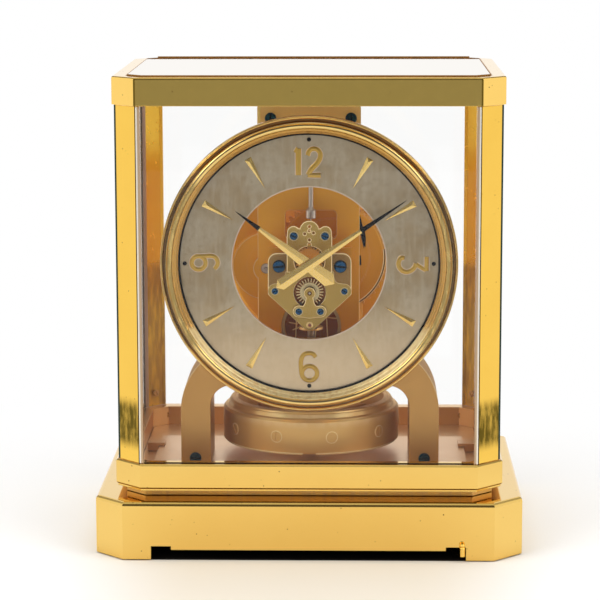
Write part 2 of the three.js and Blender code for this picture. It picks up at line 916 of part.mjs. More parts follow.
// Bridge plate behind the movement
function buildBridge() {
  const r = bridgeRound;
  const h = bridgeHalf;
  const shape = new THREE.Shape();
  const reach = Math.sqrt(earRadius ** 2 - (secondX + h) ** 2);
  const earStart = Math.atan2(reach, -h - secondX);
  const earEnd = Math.atan2(-reach, -h - secondX) + 2 * Math.PI;
  shape.moveTo(-h, bridgeBottom);
  shape.lineTo(h, bridgeBottom);
  shape.lineTo(h, bridgeTop - r);
  shape.absarc(h - r, bridgeTop - r, r, 0, Math.PI / 2, false);
  shape.absarc(r - h, bridgeTop - r, r, Math.PI / 2, Math.PI, false);
  shape.absarc(secondX, secondZ, earRadius, earStart, earEnd, false);
  shape.closePath();
  shape.holes.push(roundedOpening(windowHalf, windowBottom, windowTop, windowRound));
  const plate = upright(shape, bridgeFront, bridgeBack, small);
  const port = rodLevel(portRadius, bridgeFront - overrun, bridgeBack + overrun, 0, portHeight, medium);
  const rimBack = bridgeFront + portRimDepth;
  const rim = rodLevel(portRadius + portRim, bridgeFront - overrun, rimBack, 0, portHeight, medium);
  const bore = (place, radius) =>
    rodLevel(radius + running, bridgeFront - overrun, bridgeBack + overrun, place.x, place.z, small);
  const foot = (x0, x1) => box(x0, x1, archBack + seat, bridgeFront + overrun, bridgeBottom, bridgeFootTop);
  return cut(
    joined(plate, foot(-h, -bridgeFootInner), foot(bridgeFootInner, h)),
    port, rim, bore(barrelPlace, barrelArbor), bore(secondPlace, secondArbor), bore(thirdPlace, thirdArbor),
  );
}

function roundedOpening(half, bottom, top, radius) {
  const path = new THREE.Path();
  path.absarc(half - radius, top - radius, radius, 0, Math.PI / 2, false);
  path.absarc(radius - half, top - radius, radius, Math.PI / 2, Math.PI, false);
  path.absarc(radius - half, bottom + radius, radius, Math.PI, (3 * Math.PI) / 2, false);
  path.absarc(half - radius, bottom + radius, radius, (3 * Math.PI) / 2, 2 * Math.PI, false);
  path.closePath();
  return path;
}

// Slab across the top of the bridge, with the head that the suspension hangs from
function buildSuspensionBridge() {
  const back = bridgeFront - seat;
  const front = back - suspensionPlate;
  const r = bridgeRound;
  const h = bridgeHalf;
  const shape = new THREE.Shape();
  shape.moveTo(-h, headBottom);
  shape.lineTo(h, headBottom);
  shape.lineTo(h, bridgeTop - r);
  shape.absarc(h - r, bridgeTop - r, r, 0, Math.PI / 2, false);
  shape.absarc(r - h, bridgeTop - r, r, Math.PI / 2, Math.PI, false);
  shape.closePath();
  const slab = upright(shape, front, back, small);
  const head = box(-headHalf, headHalf, headFront, front + overrun, headBottom, headTop);
  const bore = rodUpright(guardBore, headBottom - overrun, headTop + overrun, 0, axisY, small);
  const holes = [-suspensionScrewX, suspensionScrewX].map((x) =>
    rodLevel(screwShank + running, front - overrun, back + overrun, x, suspensionScrewZ, small),
  );
  return cut(joined(slab, head), bore, ...holes);
}

function buildSuspensionScrew(x) {
  const face = bridgeFront - seat - suspensionPlate;
  const head = face - seat;
  const z = suspensionScrewZ;
  const body = joined(
    rodLevel(screwHead, head - screwHeadHeight, head, x, z, coarse),
    rodLevel(screwShank, head - screwHeadHeight / 2, bridgeFront - seat * 2, x, z, small),
  );
  const slot = box(
    x - screwSlot / 2, x + screwSlot / 2,
    head - screwHeadHeight - overrun, head - screwHeadHeight + screwSlotDepth,
    z - screwHead - overrun, z + screwHead + overrun,
  );
  return cut(body, slot);
}

// Guard tube round the upper part of the wire
function buildGuard() {
  const top = headBottom - seat;
  return turnedUpright(
    [
      [guardBore, guardBottom], [guardBlock, guardBottom], [guardBlock, guardBlockTop],
      [guardRadius, guardBlockTop + guardRadius], [guardRadius, top],
      [guardBore, top], [guardBore, guardBottom],
    ],
    0, axisY, coarse,
  );
}

function buildWire() {
  return rodUpright(wireRadius, clampTop + seat, headTop - seat, 0, axisY, wireSides);
}

// Torsion pendulum
function buildRing() {
  const r = ringRadius;
  const rimOuter = ringBore + ringRim * 2;
  const profile = [
    [ringBore, ringLedgeTop], [ringBore - ringLedge, ringLedgeTop],
    [ringBore - ringLedge, ringBottom + ringLedge], [ringBore, ringBottom],
    [r - ringLedge / 2, ringBottom], [r, ringBottom + ringLedge / 2],
    [r, ringShoulder - ringGroove], [r - ringGroove, ringShoulder], [rimOuter, ringShoulder + ringGroove],
    [rimOuter - ringGroove, ringTop],
    [ringBore, ringTop], [ringBore, ringLedgeTop],
  ];
  const ring = turnedUpright(profile, 0, axisY, fine);
  const notch = box(
    -ringNotch / 2, ringNotch / 2,
    axisY - r - overrun, axisY - r + ringRim,
    ringBottom - overrun, ringBottom + ringNotchHeight,
  );
  return joined(cut(ring, notch), ...plugs());
}

// Slotted balance plugs let into the rim of the ring
function plugs() {
  const step = (2 * Math.PI) / plugCount;
  return Array.from({ length: plugCount }, (_, i) => {
    const angle = -Math.PI / 2 + (i + 1 / 2) * step + plugPhase * degrees;
    const plug = new THREE.CylinderGeometry(plugRadius, plugRadius, ringLedge + plugProud, small);
    plug.rotateZ(Math.PI / 2);
    plug.translate(ringRadius - ringLedge / 2 + plugProud / 2, 0, 0);
    return solidOf(plug).rotate([0, 0, angle / degrees]).translate([0, axisY, plugHeight]);
  });
}

function buildCross() {
  const z0 = ringLedgeTop + seat;
  const z1 = z0 + crossThickness;
  const reach = ringBore - seat;
  const arms = Array.from({ length: crossArms / 2 }, (_, i) => {
    const geometry = new THREE.BoxGeometry(reach * 2, crossWidth, crossThickness);
    geometry.rotateZ(Math.PI / crossArms + (i * Math.PI) / 2);
    geometry.translate(0, axisY, (z0 + z1) / 2);
    return solidOf(geometry);
  });
  const hub = rodUpright(crossHub, z0, z1, 0, axisY, coarse);
  const bore = rodUpright(stemRadius + running, z0 - overrun, z1 + overrun, 0, axisY, coarse);
  const round = rodUpright(reach, z0 - overrun, z1 + overrun, 0, axisY, fine);
  return cut(joined(...arms, hub).intersect(round), bore);
}

function buildStem() {
  const crossBottom = ringLedgeTop;
  const crossTop = ringLedgeTop + crossThickness + seat * 2;
  const rollerTop = rollerBottom + rollerThickness;
  const neck = stemRadius - seat;
  return turnedUpright(
    [
      [0, stemHubBottom], [stemHub, stemHubBottom], [stemHub, crossBottom], [stemRadius, crossBottom],
      [stemRadius, crossTop], [stemHub, crossTop], [stemHub, stemHubTop - stemRadius],
      [stemRadius, stemHubTop],
      [stemRadius, rollerBottom - seat], [neck, rollerBottom - seat], [neck, rollerTop + seat],
      [stemRadius, rollerTop + seat], [stemRadius, rollerTop + stemRadius],
      [clampRadius, rollerTop + stemRadius * 2],
      [clampRadius, clampTop], [0, clampTop],
    ],
    0, axisY, small,
  );
}

// Roller that carries the impulse pin
function buildRoller() {
  const top = rollerBottom + rollerThickness;
  const disc = rodUpright(rollerRadius, rollerBottom, top, 0, axisY, medium);
  const pin = rodUpright(impulsePin, top - rollerThickness / 2, impulseTop, 0, axisY - impulseRadius, small);
  const boreRadius = stemRadius - seat + running;
  const bore = rodUpright(boreRadius, rollerBottom - overrun, top + overrun, 0, axisY, coarse);
  return cut(joined(disc, pin), bore);
}

// Movement plates
function buildFrontPlate() {
  const c = Math.SQRT1_2 * plateApexRadius;
  const apex = plateApexZ + plateApexRadius;
  const shape = new THREE.Shape();
  const wing = plateWingRound;
  const cornerX = plateHalf;
  shape.moveTo(c, apex - c);
  shape.lineTo(cornerX, plateCornerZ);
  shape.lineTo(cornerX, plateWingZ - wing);
  shape.absarc(cornerX - wing, plateWingZ - wing, wing, 0, Math.PI / 2, false);
  shape.lineTo(plateTongueHalf, plateWingZ);
  shape.lineTo(plateTongueHalf, plateTongueTop - wing);
  shape.absarc(plateTongueHalf - wing, plateTongueTop - wing, wing, 0, Math.PI / 2, false);
  shape.absarc(wing - plateTongueHalf, plateTongueTop - wing, wing, Math.PI / 2, Math.PI, false);
  shape.lineTo(-plateTongueHalf, plateWingZ);
  shape.absarc(wing - cornerX, plateWingZ - wing, wing, Math.PI / 2, Math.PI, false);
  shape.lineTo(-cornerX, plateCornerZ);
  shape.lineTo(-c, apex - c);
  shape.absarc(0, apex, plateApexRadius, (5 * Math.PI) / 4, (7 * Math.PI) / 4, false);
  shape.closePath();
  const through = [plateFront - overrun, plateBack + overrun];
  const pillarHoles = [-pillarX, pillarX].map((x) =>
    rodLevel(screwShank + running, ...through, x, pillarZ, small),
  );
  return cut(
    upright(shape, plateFront, plateBack),
    rodLevel(escapeWindow, ...through, 0, escapeZ, medium),
    rodLevel(centreArbor + running, ...through, 0, handZ, coarse),
    rodLevel(motionArbor + running, ...through, motionPlace.x, motionPlace.z, small),
    rodLevel(thinArbor + running, ...through, 0, palletZ, small),
    ...pillarHoles,
  );
}

// Back plate with the pillars riveted into it
function buildBackPlate() {
  const shape = new THREE.Shape();
  const c = Math.SQRT1_2 * plateApexRadius;
  const apex = plateApexZ + plateApexRadius;
  shape.moveTo(c, apex - c);
  shape.lineTo(plateHalf, plateCornerZ);
  shape.lineTo(plateHalf, plateWingZ);
  shape.lineTo(-plateHalf, plateWingZ);
  shape.lineTo(-plateHalf, plateCornerZ);
  shape.lineTo(-c, apex - c);
  shape.absarc(0, apex, plateApexRadius, (5 * Math.PI) / 4, (7 * Math.PI) / 4, false);
  shape.closePath();
  const through = [backPlateFront - overrun, backPlateBack + overrun];
  const places = [[pillarX, pillarZ, pillarRadius], [lowPillarX, lowPillarZ, lowPillarRadius]];
  const pillars = places.flatMap(([x, z, r]) =>
    [-x, x].map((px) => rodLevel(r, plateBack + seat, bridgeFront - seat, px, z, small)),
  );
  const threads = [-pillarX, pillarX].map((x) =>
    rodLevel(screwShank + running, plateBack - overrun, plateFront + screwDepth + seat, x, pillarZ, small),
  );
  return cut(
    joined(upright(shape, backPlateFront, backPlateBack), ...pillars),
    rodLevel(centreArbor + running, ...through, 0, handZ, coarse),
    rodLevel(thirdArbor + running, ...through, thirdX, thirdZ, coarse),
    rodLevel(thinArbor + running, ...through, 0, escapeZ, small),
    rodLevel(thinArbor + running, ...through, 0, palletZ, small),
    ...threads,
  );
}

// Three-lobed cock over the motion work
function buildMotionCock() {
  const back = cockFront + cockThickness;
  const block = new THREE.Shape();
  const shoulder = cockLobeZ;
  block.moveTo(-cockHalf, cockBottom);
  block.lineTo(cockHalf, cockBottom);
  block.lineTo(cockHalf, shoulder);
  block.absarc(cockHalf - cockLobeRadius, shoulder, cockLobeRadius, 0, (3 * Math.PI) / 4, false);
  block.absarc(0, cockCrownZ, cockCrownRadius, 0, Math.PI, false);
  block.absarc(cockLobeRadius - cockHalf, shoulder, cockLobeRadius, Math.PI / 4, Math.PI, false);
  block.closePath();
  const plate = upright(block, cockFront, back);
  const places = [[cockLobeX, cockLobeZ], [cockFootX, cockFootZ]];
  const posts = places.flatMap(([x, z]) =>
    [-x, x].map((px) => rodLevel(cockPost, back - cockThickness / 2, plateFront - seat, px, z, small)),
  );
  const through = [cockFront - overrun, back + overrun];
  return cut(
    joined(plate, ...posts),
    rodLevel(cockWindow, ...through, 0, handZ, medium),
    rodLevel(motionArbor + running, ...through, motionPlace.x, motionPlace.z, small),
  );
}

// Wishbone cock that carries the front pivot of the escape wheel
function buildEscapeCock() {
  const back = plateFront - seat;
  const front = back - escapeCockThickness;
  const x = escapeCockScrewX;
  const z = escapeCockScrewZ;
  const head = rodLevel(escapeCockHead, front, back, 0, escapeZ, coarse);
  const lobes = [-x, x].map((px) => rodLevel(escapeCockLobe, front, back, px, z, coarse));
  const body = new THREE.Shape([
    new THREE.Vector2(-x, escapeCockBottom), new THREE.Vector2(x, escapeCockBottom),
    new THREE.Vector2(x, z + escapeCockLobe / 2), new THREE.Vector2(escapeCockWaist, z + escapeCockLobe),
    new THREE.Vector2(escapeCockWaist, escapeZ), new THREE.Vector2(-escapeCockWaist, escapeZ),
    new THREE.Vector2(-escapeCockWaist, z + escapeCockLobe), new THREE.Vector2(-x, z + escapeCockLobe / 2),
  ]);
  const bore = rodLevel(thinArbor + running, front - overrun, back + overrun, 0, escapeZ, small);
  return cut(joined(upright(body, front, back), head, ...lobes), bore);
}

// Train
function gearSlice(pair, side, y0, length) {
  return upright(gearOutline(pair, side).shape, y0, y0 + length);
}

function buildCentreArbor() {
  const outline = gearOutline(centrePair, "lead");
  const wheel = spokedWheel(outline, centrePlace, centrePlane, centrePlane + wheelThickness);
  const front = minutePlane + handThickness + seat;
  const arbor = rodLevel(centreArbor, front, backPlateBack - seat, 0, handZ, coarse);
  return joined(wheel, gearSlice(thirdPair, "led", thirdPlane, pinionLength), arbor);
}

function buildCannon() {
  const gear = gearSlice(cannonPair, "lead", motionPlane, wheelThickness);
  const front = minutePlane + handThickness + seat;
  const pipe = rodLevel(cannonRadius, front, motionPlane + wheelThickness / 2, 0, handZ, coarse);
  const back = motionPlane + wheelThickness;
  const bore = rodLevel(cannonBore, minutePlane - overrun, back + overrun, 0, handZ, coarse);
  return cut(joined(gear, pipe), bore);
}

function buildMotionWheel() {
  const y0 = motionPlane;
  const wheel = spokedWheel(gearOutline(cannonPair, "led"), motionPlace, y0, y0 + wheelThickness, wheelHub);
  const pinion = gearSlice(hourPair, "lead", hourPlane, y0 - hourPlane + wheelThickness / 2);
  const arbor = rodLevel(motionArbor, cockFront, plateBack, motionPlace.x, motionPlace.z, small);
  return joined(wheel, pinion, arbor);
}

function buildHourWheel() {
  const wheel = gearSlice(hourPair, "led", hourPlane, wheelThickness);
  const front = hourHandPlane + handThickness / 2;
  const back = hourPlane + wheelThickness;
  const pipe = rodLevel(hourPipe, front, back - wheelThickness / 2, 0, handZ, coarse);
  const bore = rodLevel(hourBore, hourHandPlane - overrun, back + overrun, 0, handZ, coarse);
  return cut(joined(wheel, pipe), bore);
}

function buildThirdWheel() {
  const back = secondPlane + pinionLength + arborEnd;
  const arbor = rodLevel(thirdArbor, thirdPlane - arborEnd, back, thirdX, thirdZ, small);
  return joined(
    gearSlice(thirdPair, "lead", thirdPlane, pinionLength),
    gearSlice(secondPair, "led", secondPlane, pinionLength),
    arbor,
  );
}

function buildSecondWheel() {
  const outline = gearOutline(secondPair, "lead");
  const wheel = spokedWheel(outline, secondPlace, secondPlane, secondPlane + wheelThickness, secondHub);
  const pinion = gearSlice(barrelPair, "led", barrelPlane - seat, greatWheel + seat * 2);
  const arbor = rodLevel(secondArbor, bridgeFront - seat, rearPlateBack - seat, secondX, secondZ, small);
  return joined(wheel, pinion, arbor);
}

function buildEscapeWheel() {
  const root = escapeRadius - escapeTooth;
  const shape = toothedShape(escapeTeeth, escapeRadius, root, 0, escapeZ, 0, escapeTipShare);
  shape.holes.push(...spokeOpenings(0, escapeZ, wheelHub, root * rimShare, spokes, spokeWidth));
  return joined(
    upright(shape, escapePlane, escapePlane + wheelThickness, spokeSteps),
    gearSlice(centrePair, "led", centrePlane - seat, wheelThickness + seat * 2),
    rodLevel(thinArbor, plateFront - seat - escapeCockThickness, backPlateBack - seat, 0, escapeZ, small),
  );
}

// Pallet lever: two arms with stones under the escape wheel, and a crutch that reaches the impulse pin
function buildPalletLever() {
  const stoneRadius = escapeRadius + palletGap + palletStone / 2;
  const y0 = escapePlane;
  const y1 = escapePlane + wheelThickness;
  const arms = [-1, 1].flatMap((sign) => {
    const x = sign * stoneRadius * Math.sin(palletAngle * degrees);
    const z = escapeZ - stoneRadius * Math.cos(palletAngle * degrees);
    const across = Math.atan2(z - palletZ, x) + Math.PI / 2;
    const dx = (palletArmWidth / 2) * Math.cos(across);
    const dz = (palletArmWidth / 2) * Math.sin(across);
    const arm = new THREE.Shape([
      new THREE.Vector2(dx, palletZ + dz), new THREE.Vector2(x + dx, z + dz),
      new THREE.Vector2(x - dx, z - dz), new THREE.Vector2(-dx, palletZ - dz),
    ]);
    return [upright(arm, y0, y1), rodLevel(palletStone / 2, y0, y1, x, z, small)];
  });
  const arbor = rodLevel(thinArbor, plateFront + seat, crutchY + crutchThickness, 0, palletZ, small);
  const hub = rodLevel(palletArmWidth, y0, y1, 0, palletZ, small);
  const dropTop = palletZ + crutchWaist;
  const drop = box(-crutchWaist, crutchWaist, crutchY, crutchY + crutchThickness, crutchLow, dropTop);
  const outer = crutchHalf + crutchProng;
  const high = crutchLow + crutchDepth;
  const yoke = box(-outer, outer, crutchY, crutchY + crutchThickness, crutchLow, high);
  const tip = axisY - impulseRadius - crutchTipGap + impulsePin;
  const prongs = [-1, 1].map((sign) => {
    const [x0, x1] = sign > 0 ? [crutchHalf, outer] : [-outer, -crutchHalf];
    return box(x0, x1, crutchY, tip, crutchLow, high);
  });
  return joined(...arms, arbor, hub, drop, yoke, ...prongs);
}

// Mainspring barrel
function buildBarrel() {
  const outline = gearOutline(barrelPair, "lead");
  const great = upright(outline.shape, barrelPlane, barrelPlane + greatWheel);
  const front = barrelPlane;
  const stepRadius = outline.root * barrelStepShare;
  const drum = rodLevel(barrelDrum, front + barrelFloor, barrelBack, barrelX, barrelZ, fine);
  const back = barrelBack + overrun;
  const pocket = rodLevel(barrelDrum - barrelWall, front + barrelFloor, back, barrelX, barrelZ, medium);
  const stepBack = front + barrelStep;
  const recess = pipeLevel(stepRadius, barrelHub, front - overrun, stepBack, barrelX, barrelZ, medium);
  const bore = rodLevel(barrelArbor + running, front - overrun, back, barrelX, barrelZ, coarse);
  return cut(joined(great, drum), pocket, recess, bore);
}

function buildBarrelCover() {
  const y0 = barrelBack + seat;
  const plate = rodLevel(barrelDrum, y0, rearPlateFront - seat, barrelX, barrelZ, medium);
  return cut(plate, rodLevel(barrelArbor + running, y0 - overrun, rearPlateFront, barrelX, barrelZ, coarse));
}

// Spiral mainspring, one strip from the hub to the wall
function buildMainspring() {
  const inner = barrelHub;
  const outer = barrelDrum - barrelWall - seat - springStrip;
  const shape = new THREE.Shape();
  const edge = (i, add) => {
    const share = i / springSteps;
    const r = inner + (outer - inner) * share + add;
    const a = share * springTurns * 2 * Math.PI;
    return new THREE.Vector2(barrelX + r * Math.cos(a), barrelZ + r * Math.sin(a));
  };
  const points = [];
  for (let i = 0; i <= springSteps; i++) points.push(edge(i, springStrip));
  for (let i = springSteps; i >= 0; i--) points.push(edge(i, 0));
  shape.setFromPoints(points);
  return upright(shape, barrelPlane + greatWheel + seat, barrelBack - seat);
}

// Arbor of the barrel, with the ratchet that the bellows winds
function buildBarrelArbor() {
  const y0 = rearPlateBack + seat;
  const y1 = y0 + ratchetTooth * 2;
  const arbor = rodLevel(barrelArbor, bridgeFront + seat, y1, barrelX, barrelZ, coarse);
  const hubFront = barrelPlane + greatWheel + seat;
  const hubRadius = barrelHub - springStrip - seat;
  const hub = rodLevel(hubRadius, hubFront, barrelBack - seat, barrelX, barrelZ, coarse);
  const root = ratchetRadius - ratchetTooth;
  const teeth = toothedShape(ratchetTeeth, ratchetRadius, root, barrelX, barrelZ, 0);
  return joined(arbor, hub, upright(teeth, y0, y1));
}

function buildRearPlate() {
  const h = rearPlateHalf;
  const r = bridgeRound * 2;
  const shape = new THREE.Shape();
  shape.absarc(h - r, rearPlateTop - r, r, 0, Math.PI / 2, false);
  shape.absarc(r - h, rearPlateTop - r, r, Math.PI / 2, Math.PI, false);
  shape.absarc(r - h, rearPlateBottom + r, r, Math.PI, (3 * Math.PI) / 2, false);
  shape.absarc(h - r, rearPlateBottom + r, r, (3 * Math.PI) / 2, 2 * Math.PI, false);
  shape.closePath();
  const pillars = [-rearPillarX, rearPillarX].flatMap((x) =>
    [-rearPillarRise, rearPillarRise].map((dz) =>
      rodLevel(rearPillarRadius, bridgeBack + seat, rearPlateFront + overrun, x, barrelZ + dz, small),
    ),
  );
  const through = [rearPlateFront - overrun, rearPlateBack + overrun];
  return cut(
    joined(upright(shape, rearPlateFront, rearPlateBack), ...pillars),
    rodLevel(barrelArbor + running, ...through, barrelX, barrelZ, coarse),
    rodLevel(secondArbor + running, ...through, secondX, secondZ, small),
  );
}

// Bellows in its drum
function buildHousing() {
  const r = housingRadius;
  const w = housingWall;
  const collarFront = rearPlateBack + seat;
  const k = housingRound;
  return turnedLevel(
    [
      [housingCollar - w, collarFront], [housingCollar, collarFront], [housingCollar, housingFront],
      [r - k, housingFront], [r, housingFront + k], [r, housingBack - k],
      [r - k, housingBack], [0, housingBack],
      [0, housingBack - w], [r - w, housingBack - w], [r - w, housingFront + w + k],
      [housingMouth, housingFront + w], [housingMouth, housingFront],
      [housingCollar - w, housingFront], [housingCollar - w, collarFront],
    ],
    0, housingZ, medium,
  );
}

function buildBellows() {
  const y1 = housingBack - housingWall - seat;
  const pitch = (y1 - bellowsFront) / bellowsFolds;
  const points = [[0, bellowsFront]];
  for (let i = 0; i < bellowsFolds; i++) {
    const y = bellowsFront + i * pitch;
    points.push([bellowsInner, y], [bellowsRadius, y + pitch / 4], [bellowsRadius, y + pitch / 2]);
    points.push([bellowsInner, y + (pitch * 3) / 4]);
  }
  points.push([bellowsInner, y1], [0, y1]);
  return turnedLevel(points, 0, housingZ, coarse + arcSteps);
}

function buildBellowsCap() {
  const back = bellowsFront - seat;
  const flange = back - capThickness;
  return turnedLevel(
    [
      [0, capNoseFront], [capNose, capNoseFront], [capNose, flange],
      [capRadius, flange], [capRadius, back], [0, back],
    ],
    0, housingZ, medium,
  );
}

// Dial with raised hour darts and its pillars
function buildDial() {
  const back = dialFront + dialThickness;
  const ring = pipeLevel(dialOuter, dialInner, dialFront, back, 0, handZ, fine);
  const darts = Array.from({ length: hours }, (_, hour) => hour)
    .filter((hour) => hour % hoursPerNumeral !== 0)
    .map((hour) => dart((hour * 360) / hours));
  const high = [-dialPillarX, dialPillarX].map((x) =>
    rodLevel(dialPillar, back - dialThickness / 2, bridgeFront - seat, x, dialPillarHigh, small),
  );
  const low = [-dialPillarX, dialPillarX].map((x) =>
    rodLevel(dialPillar, back - dialThickness / 2, archFront - seat, x, dialPillarLow, small),
  );
  return joined(ring, ...darts, ...high, ...low);
}

// A roof-shaped blade: wide end, far end and a ridge along the middle
function blade(outline, ridge, back, front, crest, clockwise) {
  const turn = clockwise * degrees;
  const place = ([across, along], y) => [
    across * Math.cos(turn) + along * Math.sin(turn),
    y,
    handZ - across * Math.sin(turn) + along * Math.cos(turn),
  ];
  const count = outline.length;
  const positions = [
    ...outline.flatMap((point) => place(point, back)),
    ...outline.flatMap((point) => place(point, front)),
    ...ridge.flatMap((point) => place(point, crest)),
  ];
  const index = [];
  for (let i = 0; i < count; i++) {
    const next = (i + 1) % count;
    index.push(i, next, count + next, i, count + next, count + i);
  }
  for (let i = 1; i < count - 1; i++) index.push(0, i + 1, i);
  return { positions, index, count };
}

// Closes the front of a blade over its ridge and makes the solid
function closeBlade({ positions, index, count }, frontFaces) {
  frontFaces.forEach(([a, b, c]) => index.push(a + count, b + count, c + count));
  const geometry = new THREE.BufferGeometry();
  geometry.setAttribute("position", new THREE.BufferAttribute(new Float32Array(positions), 3));
  geometry.setIndex(index);
  return solidOf(geometry);
}

function dart(clockwise) {
  const w = markerWidth / 2;
  const outline = [[-w, markerOuter], [w, markerOuter], [0, markerInner]];
  const ridge = [[0, markerOuter - w]];
  const inDial = dialFront + dialThickness / 2;
  const body = blade(outline, ridge, inDial, dialFront, dialFront - markerHeight, clockwise);
  return closeBlade(body, [[0, 1, 3], [1, 2, 3], [2, 0, 3]]);
}

function buildHand(length, width, tail, tailPoint, clockwise, plane, bore) {
  const w = width / 2;
  const outline = [[0, length], [w, -tail], [0, -tailPoint], [-w, -tail]];
  const ridge = [[0, length - handRidge], [0, -tail]];
  const body = blade(outline, ridge, plane + handThickness, plane, plane - handRidge, clockwise);
  const solid = closeBlade(body, [[0, 5, 4], [0, 1, 5], [1, 2, 5], [2, 3, 5], [3, 0, 4], [3, 4, 5]]);
  if (bore === 0) return solid;
  const hole = rodLevel(bore, plane - handRidge - overrun, plane + handThickness + overrun, 0, handZ, coarse);
  return cut(solid, hole);
}

function buildMinuteHand() {
  const clockwise = minuteAngle;
  const plane = minutePlane;
  return buildHand(minuteLength, minuteWidth, minuteTail, minuteTailPoint, clockwise, plane, 0);
}

function buildHourHand() {
  const clockwise = hourAngle;
  const plane = hourHandPlane;
  return buildHand(hourLength, hourWidth, hourTail, hourTailPoint, clockwise, plane, hourPipe + running);
}

function buildBezel() {
  const r = bezelRadius;
  const grooveInner = r - bezelFlange - bezelGroove;
  const bandInner = grooveInner - bezelBand;
  const flangeFront = bezelBack - bezelFlange;
  const bandFront = bezelFront + bezelBand / 4;
  return turnedLevel(
    [
      [dialOuter + seat, bezelBack], [r, bezelBack], [r, flangeFront - bezelFlange],
      [r - bezelFlange / 2, flangeFront - bezelFlange * 2], [r - bezelFlange, flangeFront - bezelFlange / 2],
      [grooveInner, bandFront + bezelBand / 3], [grooveInner - bezelBand / 3, bezelFront],
      [bandInner + bezelBand / 3, bezelFront], [bandInner, bandFront + bezelBand / 3],
      [bezelInner, dialFront - seat],
      [dialOuter + seat, dialFront - seat],
      [dialOuter + seat, bezelBack],
    ],
    0, handZ, fine,
  );
}

// Assembly
const clock = new THREE.Group();

function add(name, material, solid) {
  const mesh = new THREE.Mesh(geometryOf(solid), materials[material].clone());
  mesh.name = name;
  clock.add(mesh);
}

add("plinth", "gilt", buildPlinth());
add("case_floor", "gilt", buildFloor());
add("lower_frame", "gilt", buildLowerFrame());
add("post_front_left", "gilt", buildPost(-1, -1));
add("post_front_right", "gilt", buildPost(1, -1));
add("post_rear_left", "gilt", buildPost(-1, 1));
add("post_rear_right", "gilt", buildPost(1, 1));
add("upper_frame", "gilt", buildUpperFrame());
add("top_glass", "glass", buildTopGlass());
add("left_glass", "glass", sidePane(-1));
add("right_glass", "glass", sidePane(1));
add("rear_glass", "glass", rearPane());
add("front_glass", "glass", frontPane());

const [footLeft, footRight, footRear] = footPlaces();
add("levelling_foot_left", "gilt", buildFoot(footLeft, true));
add("levelling_foot_right", "gilt", buildFoot(footRight, true));
add("rear_foot", "gilt", buildFoot(footRear, false));
add("lock_lever", "gilt", buildLockLever());
add("lock_pin", "steel", buildLockPin());

add("movement_base", "matt", buildBase());
add("base_clip_left", "matt", buildClip(-1));
add("base_clip_right", "matt", buildClip(1));
add("support_arch", "matt", buildArch());
add("arch_screw_left", "blued", buildScrew(-archScrewX, archScrewZ, archFront));
add("arch_screw_right", "blued", buildScrew(archScrewX, archScrewZ, archFront));
add("bridge_plate", "plate", buildBridge());
add("suspension_bridge", "plate", buildSuspensionBridge());
add("suspension_screw_left", "blued", buildSuspensionScrew(-suspensionScrewX));
add("suspension_screw_right", "blued", buildSuspensionScrew(suspensionScrewX));
add("suspension_guard", "steel", buildGuard());
add("suspension_wire", "steel", buildWire());

add("pendulum_ring", "matt", buildRing());
add("pendulum_cross", "matt", buildCross());
add("pendulum_stem", "steel", buildStem());
add("impulse_roller", "plate", buildRoller());

add("front_plate", "plate", buildFrontPlate());
add("back_plate", "plate", buildBackPlate());
add("pillar_screw_left", "blued", buildScrew(-pillarX, pillarZ, plateFront));
add("pillar_screw_right", "blued", buildScrew(pillarX, pillarZ, plateFront));
add("motion_cock", "plate", buildMotionCock());
add("escape_cock", "plate", buildEscapeCock());
add("centre_wheel", "plate", buildCentreArbor());
add("cannon_pinion", "steel", buildCannon());
add("motion_wheel", "plate", buildMotionWheel());
add("hour_wheel", "plate", buildHourWheel());
add("third_wheel", "steel", buildThirdWheel());
add("second_wheel", "plate", buildSecondWheel());
add("escape_wheel", "plate", buildEscapeWheel());
add("pallet_lever", "steel", buildPalletLever());
add("barrel", "plate", buildBarrel());
add("barrel_cover", "plate", buildBarrelCover());
add("mainspring", "blued", buildMainspring());
add("barrel_arbor", "steel", buildBarrelArbor());
add("rear_plate", "plate", buildRearPlate());
add("bellows_housing", "plate", buildHousing());
add("bellows", "plate", buildBellows());
add("bellows_cap", "steel", buildBellowsCap());

add("dial", "silvered", buildDial());
add("bezel", "gilt", buildBezel());
add("hour_hand", "gilt", buildHourHand());
add("minute_hand", "gilt", buildMinuteHand());

export default clock;
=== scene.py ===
import math

import bmesh
import bpy
from mathutils import Matrix, Vector

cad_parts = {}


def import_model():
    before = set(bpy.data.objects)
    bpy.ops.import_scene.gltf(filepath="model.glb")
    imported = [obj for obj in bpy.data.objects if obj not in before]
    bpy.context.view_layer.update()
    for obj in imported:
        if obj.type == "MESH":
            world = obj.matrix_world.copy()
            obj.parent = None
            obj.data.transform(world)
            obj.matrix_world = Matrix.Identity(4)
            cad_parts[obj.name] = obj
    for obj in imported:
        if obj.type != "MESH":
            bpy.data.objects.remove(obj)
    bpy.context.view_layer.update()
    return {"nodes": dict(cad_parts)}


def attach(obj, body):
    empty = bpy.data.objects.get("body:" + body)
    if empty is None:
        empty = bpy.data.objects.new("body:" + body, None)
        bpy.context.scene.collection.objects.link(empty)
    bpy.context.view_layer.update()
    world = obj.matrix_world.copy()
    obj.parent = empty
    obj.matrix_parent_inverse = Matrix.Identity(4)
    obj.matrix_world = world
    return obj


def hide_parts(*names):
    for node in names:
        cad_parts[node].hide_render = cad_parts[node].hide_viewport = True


# Looks of a torsion-pendulum mantel clock. Lengths below are millimetres, the scene is in metres.
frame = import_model()
nodes = frame["nodes"]
MM = 0.001
collection = bpy.context.scene.collection

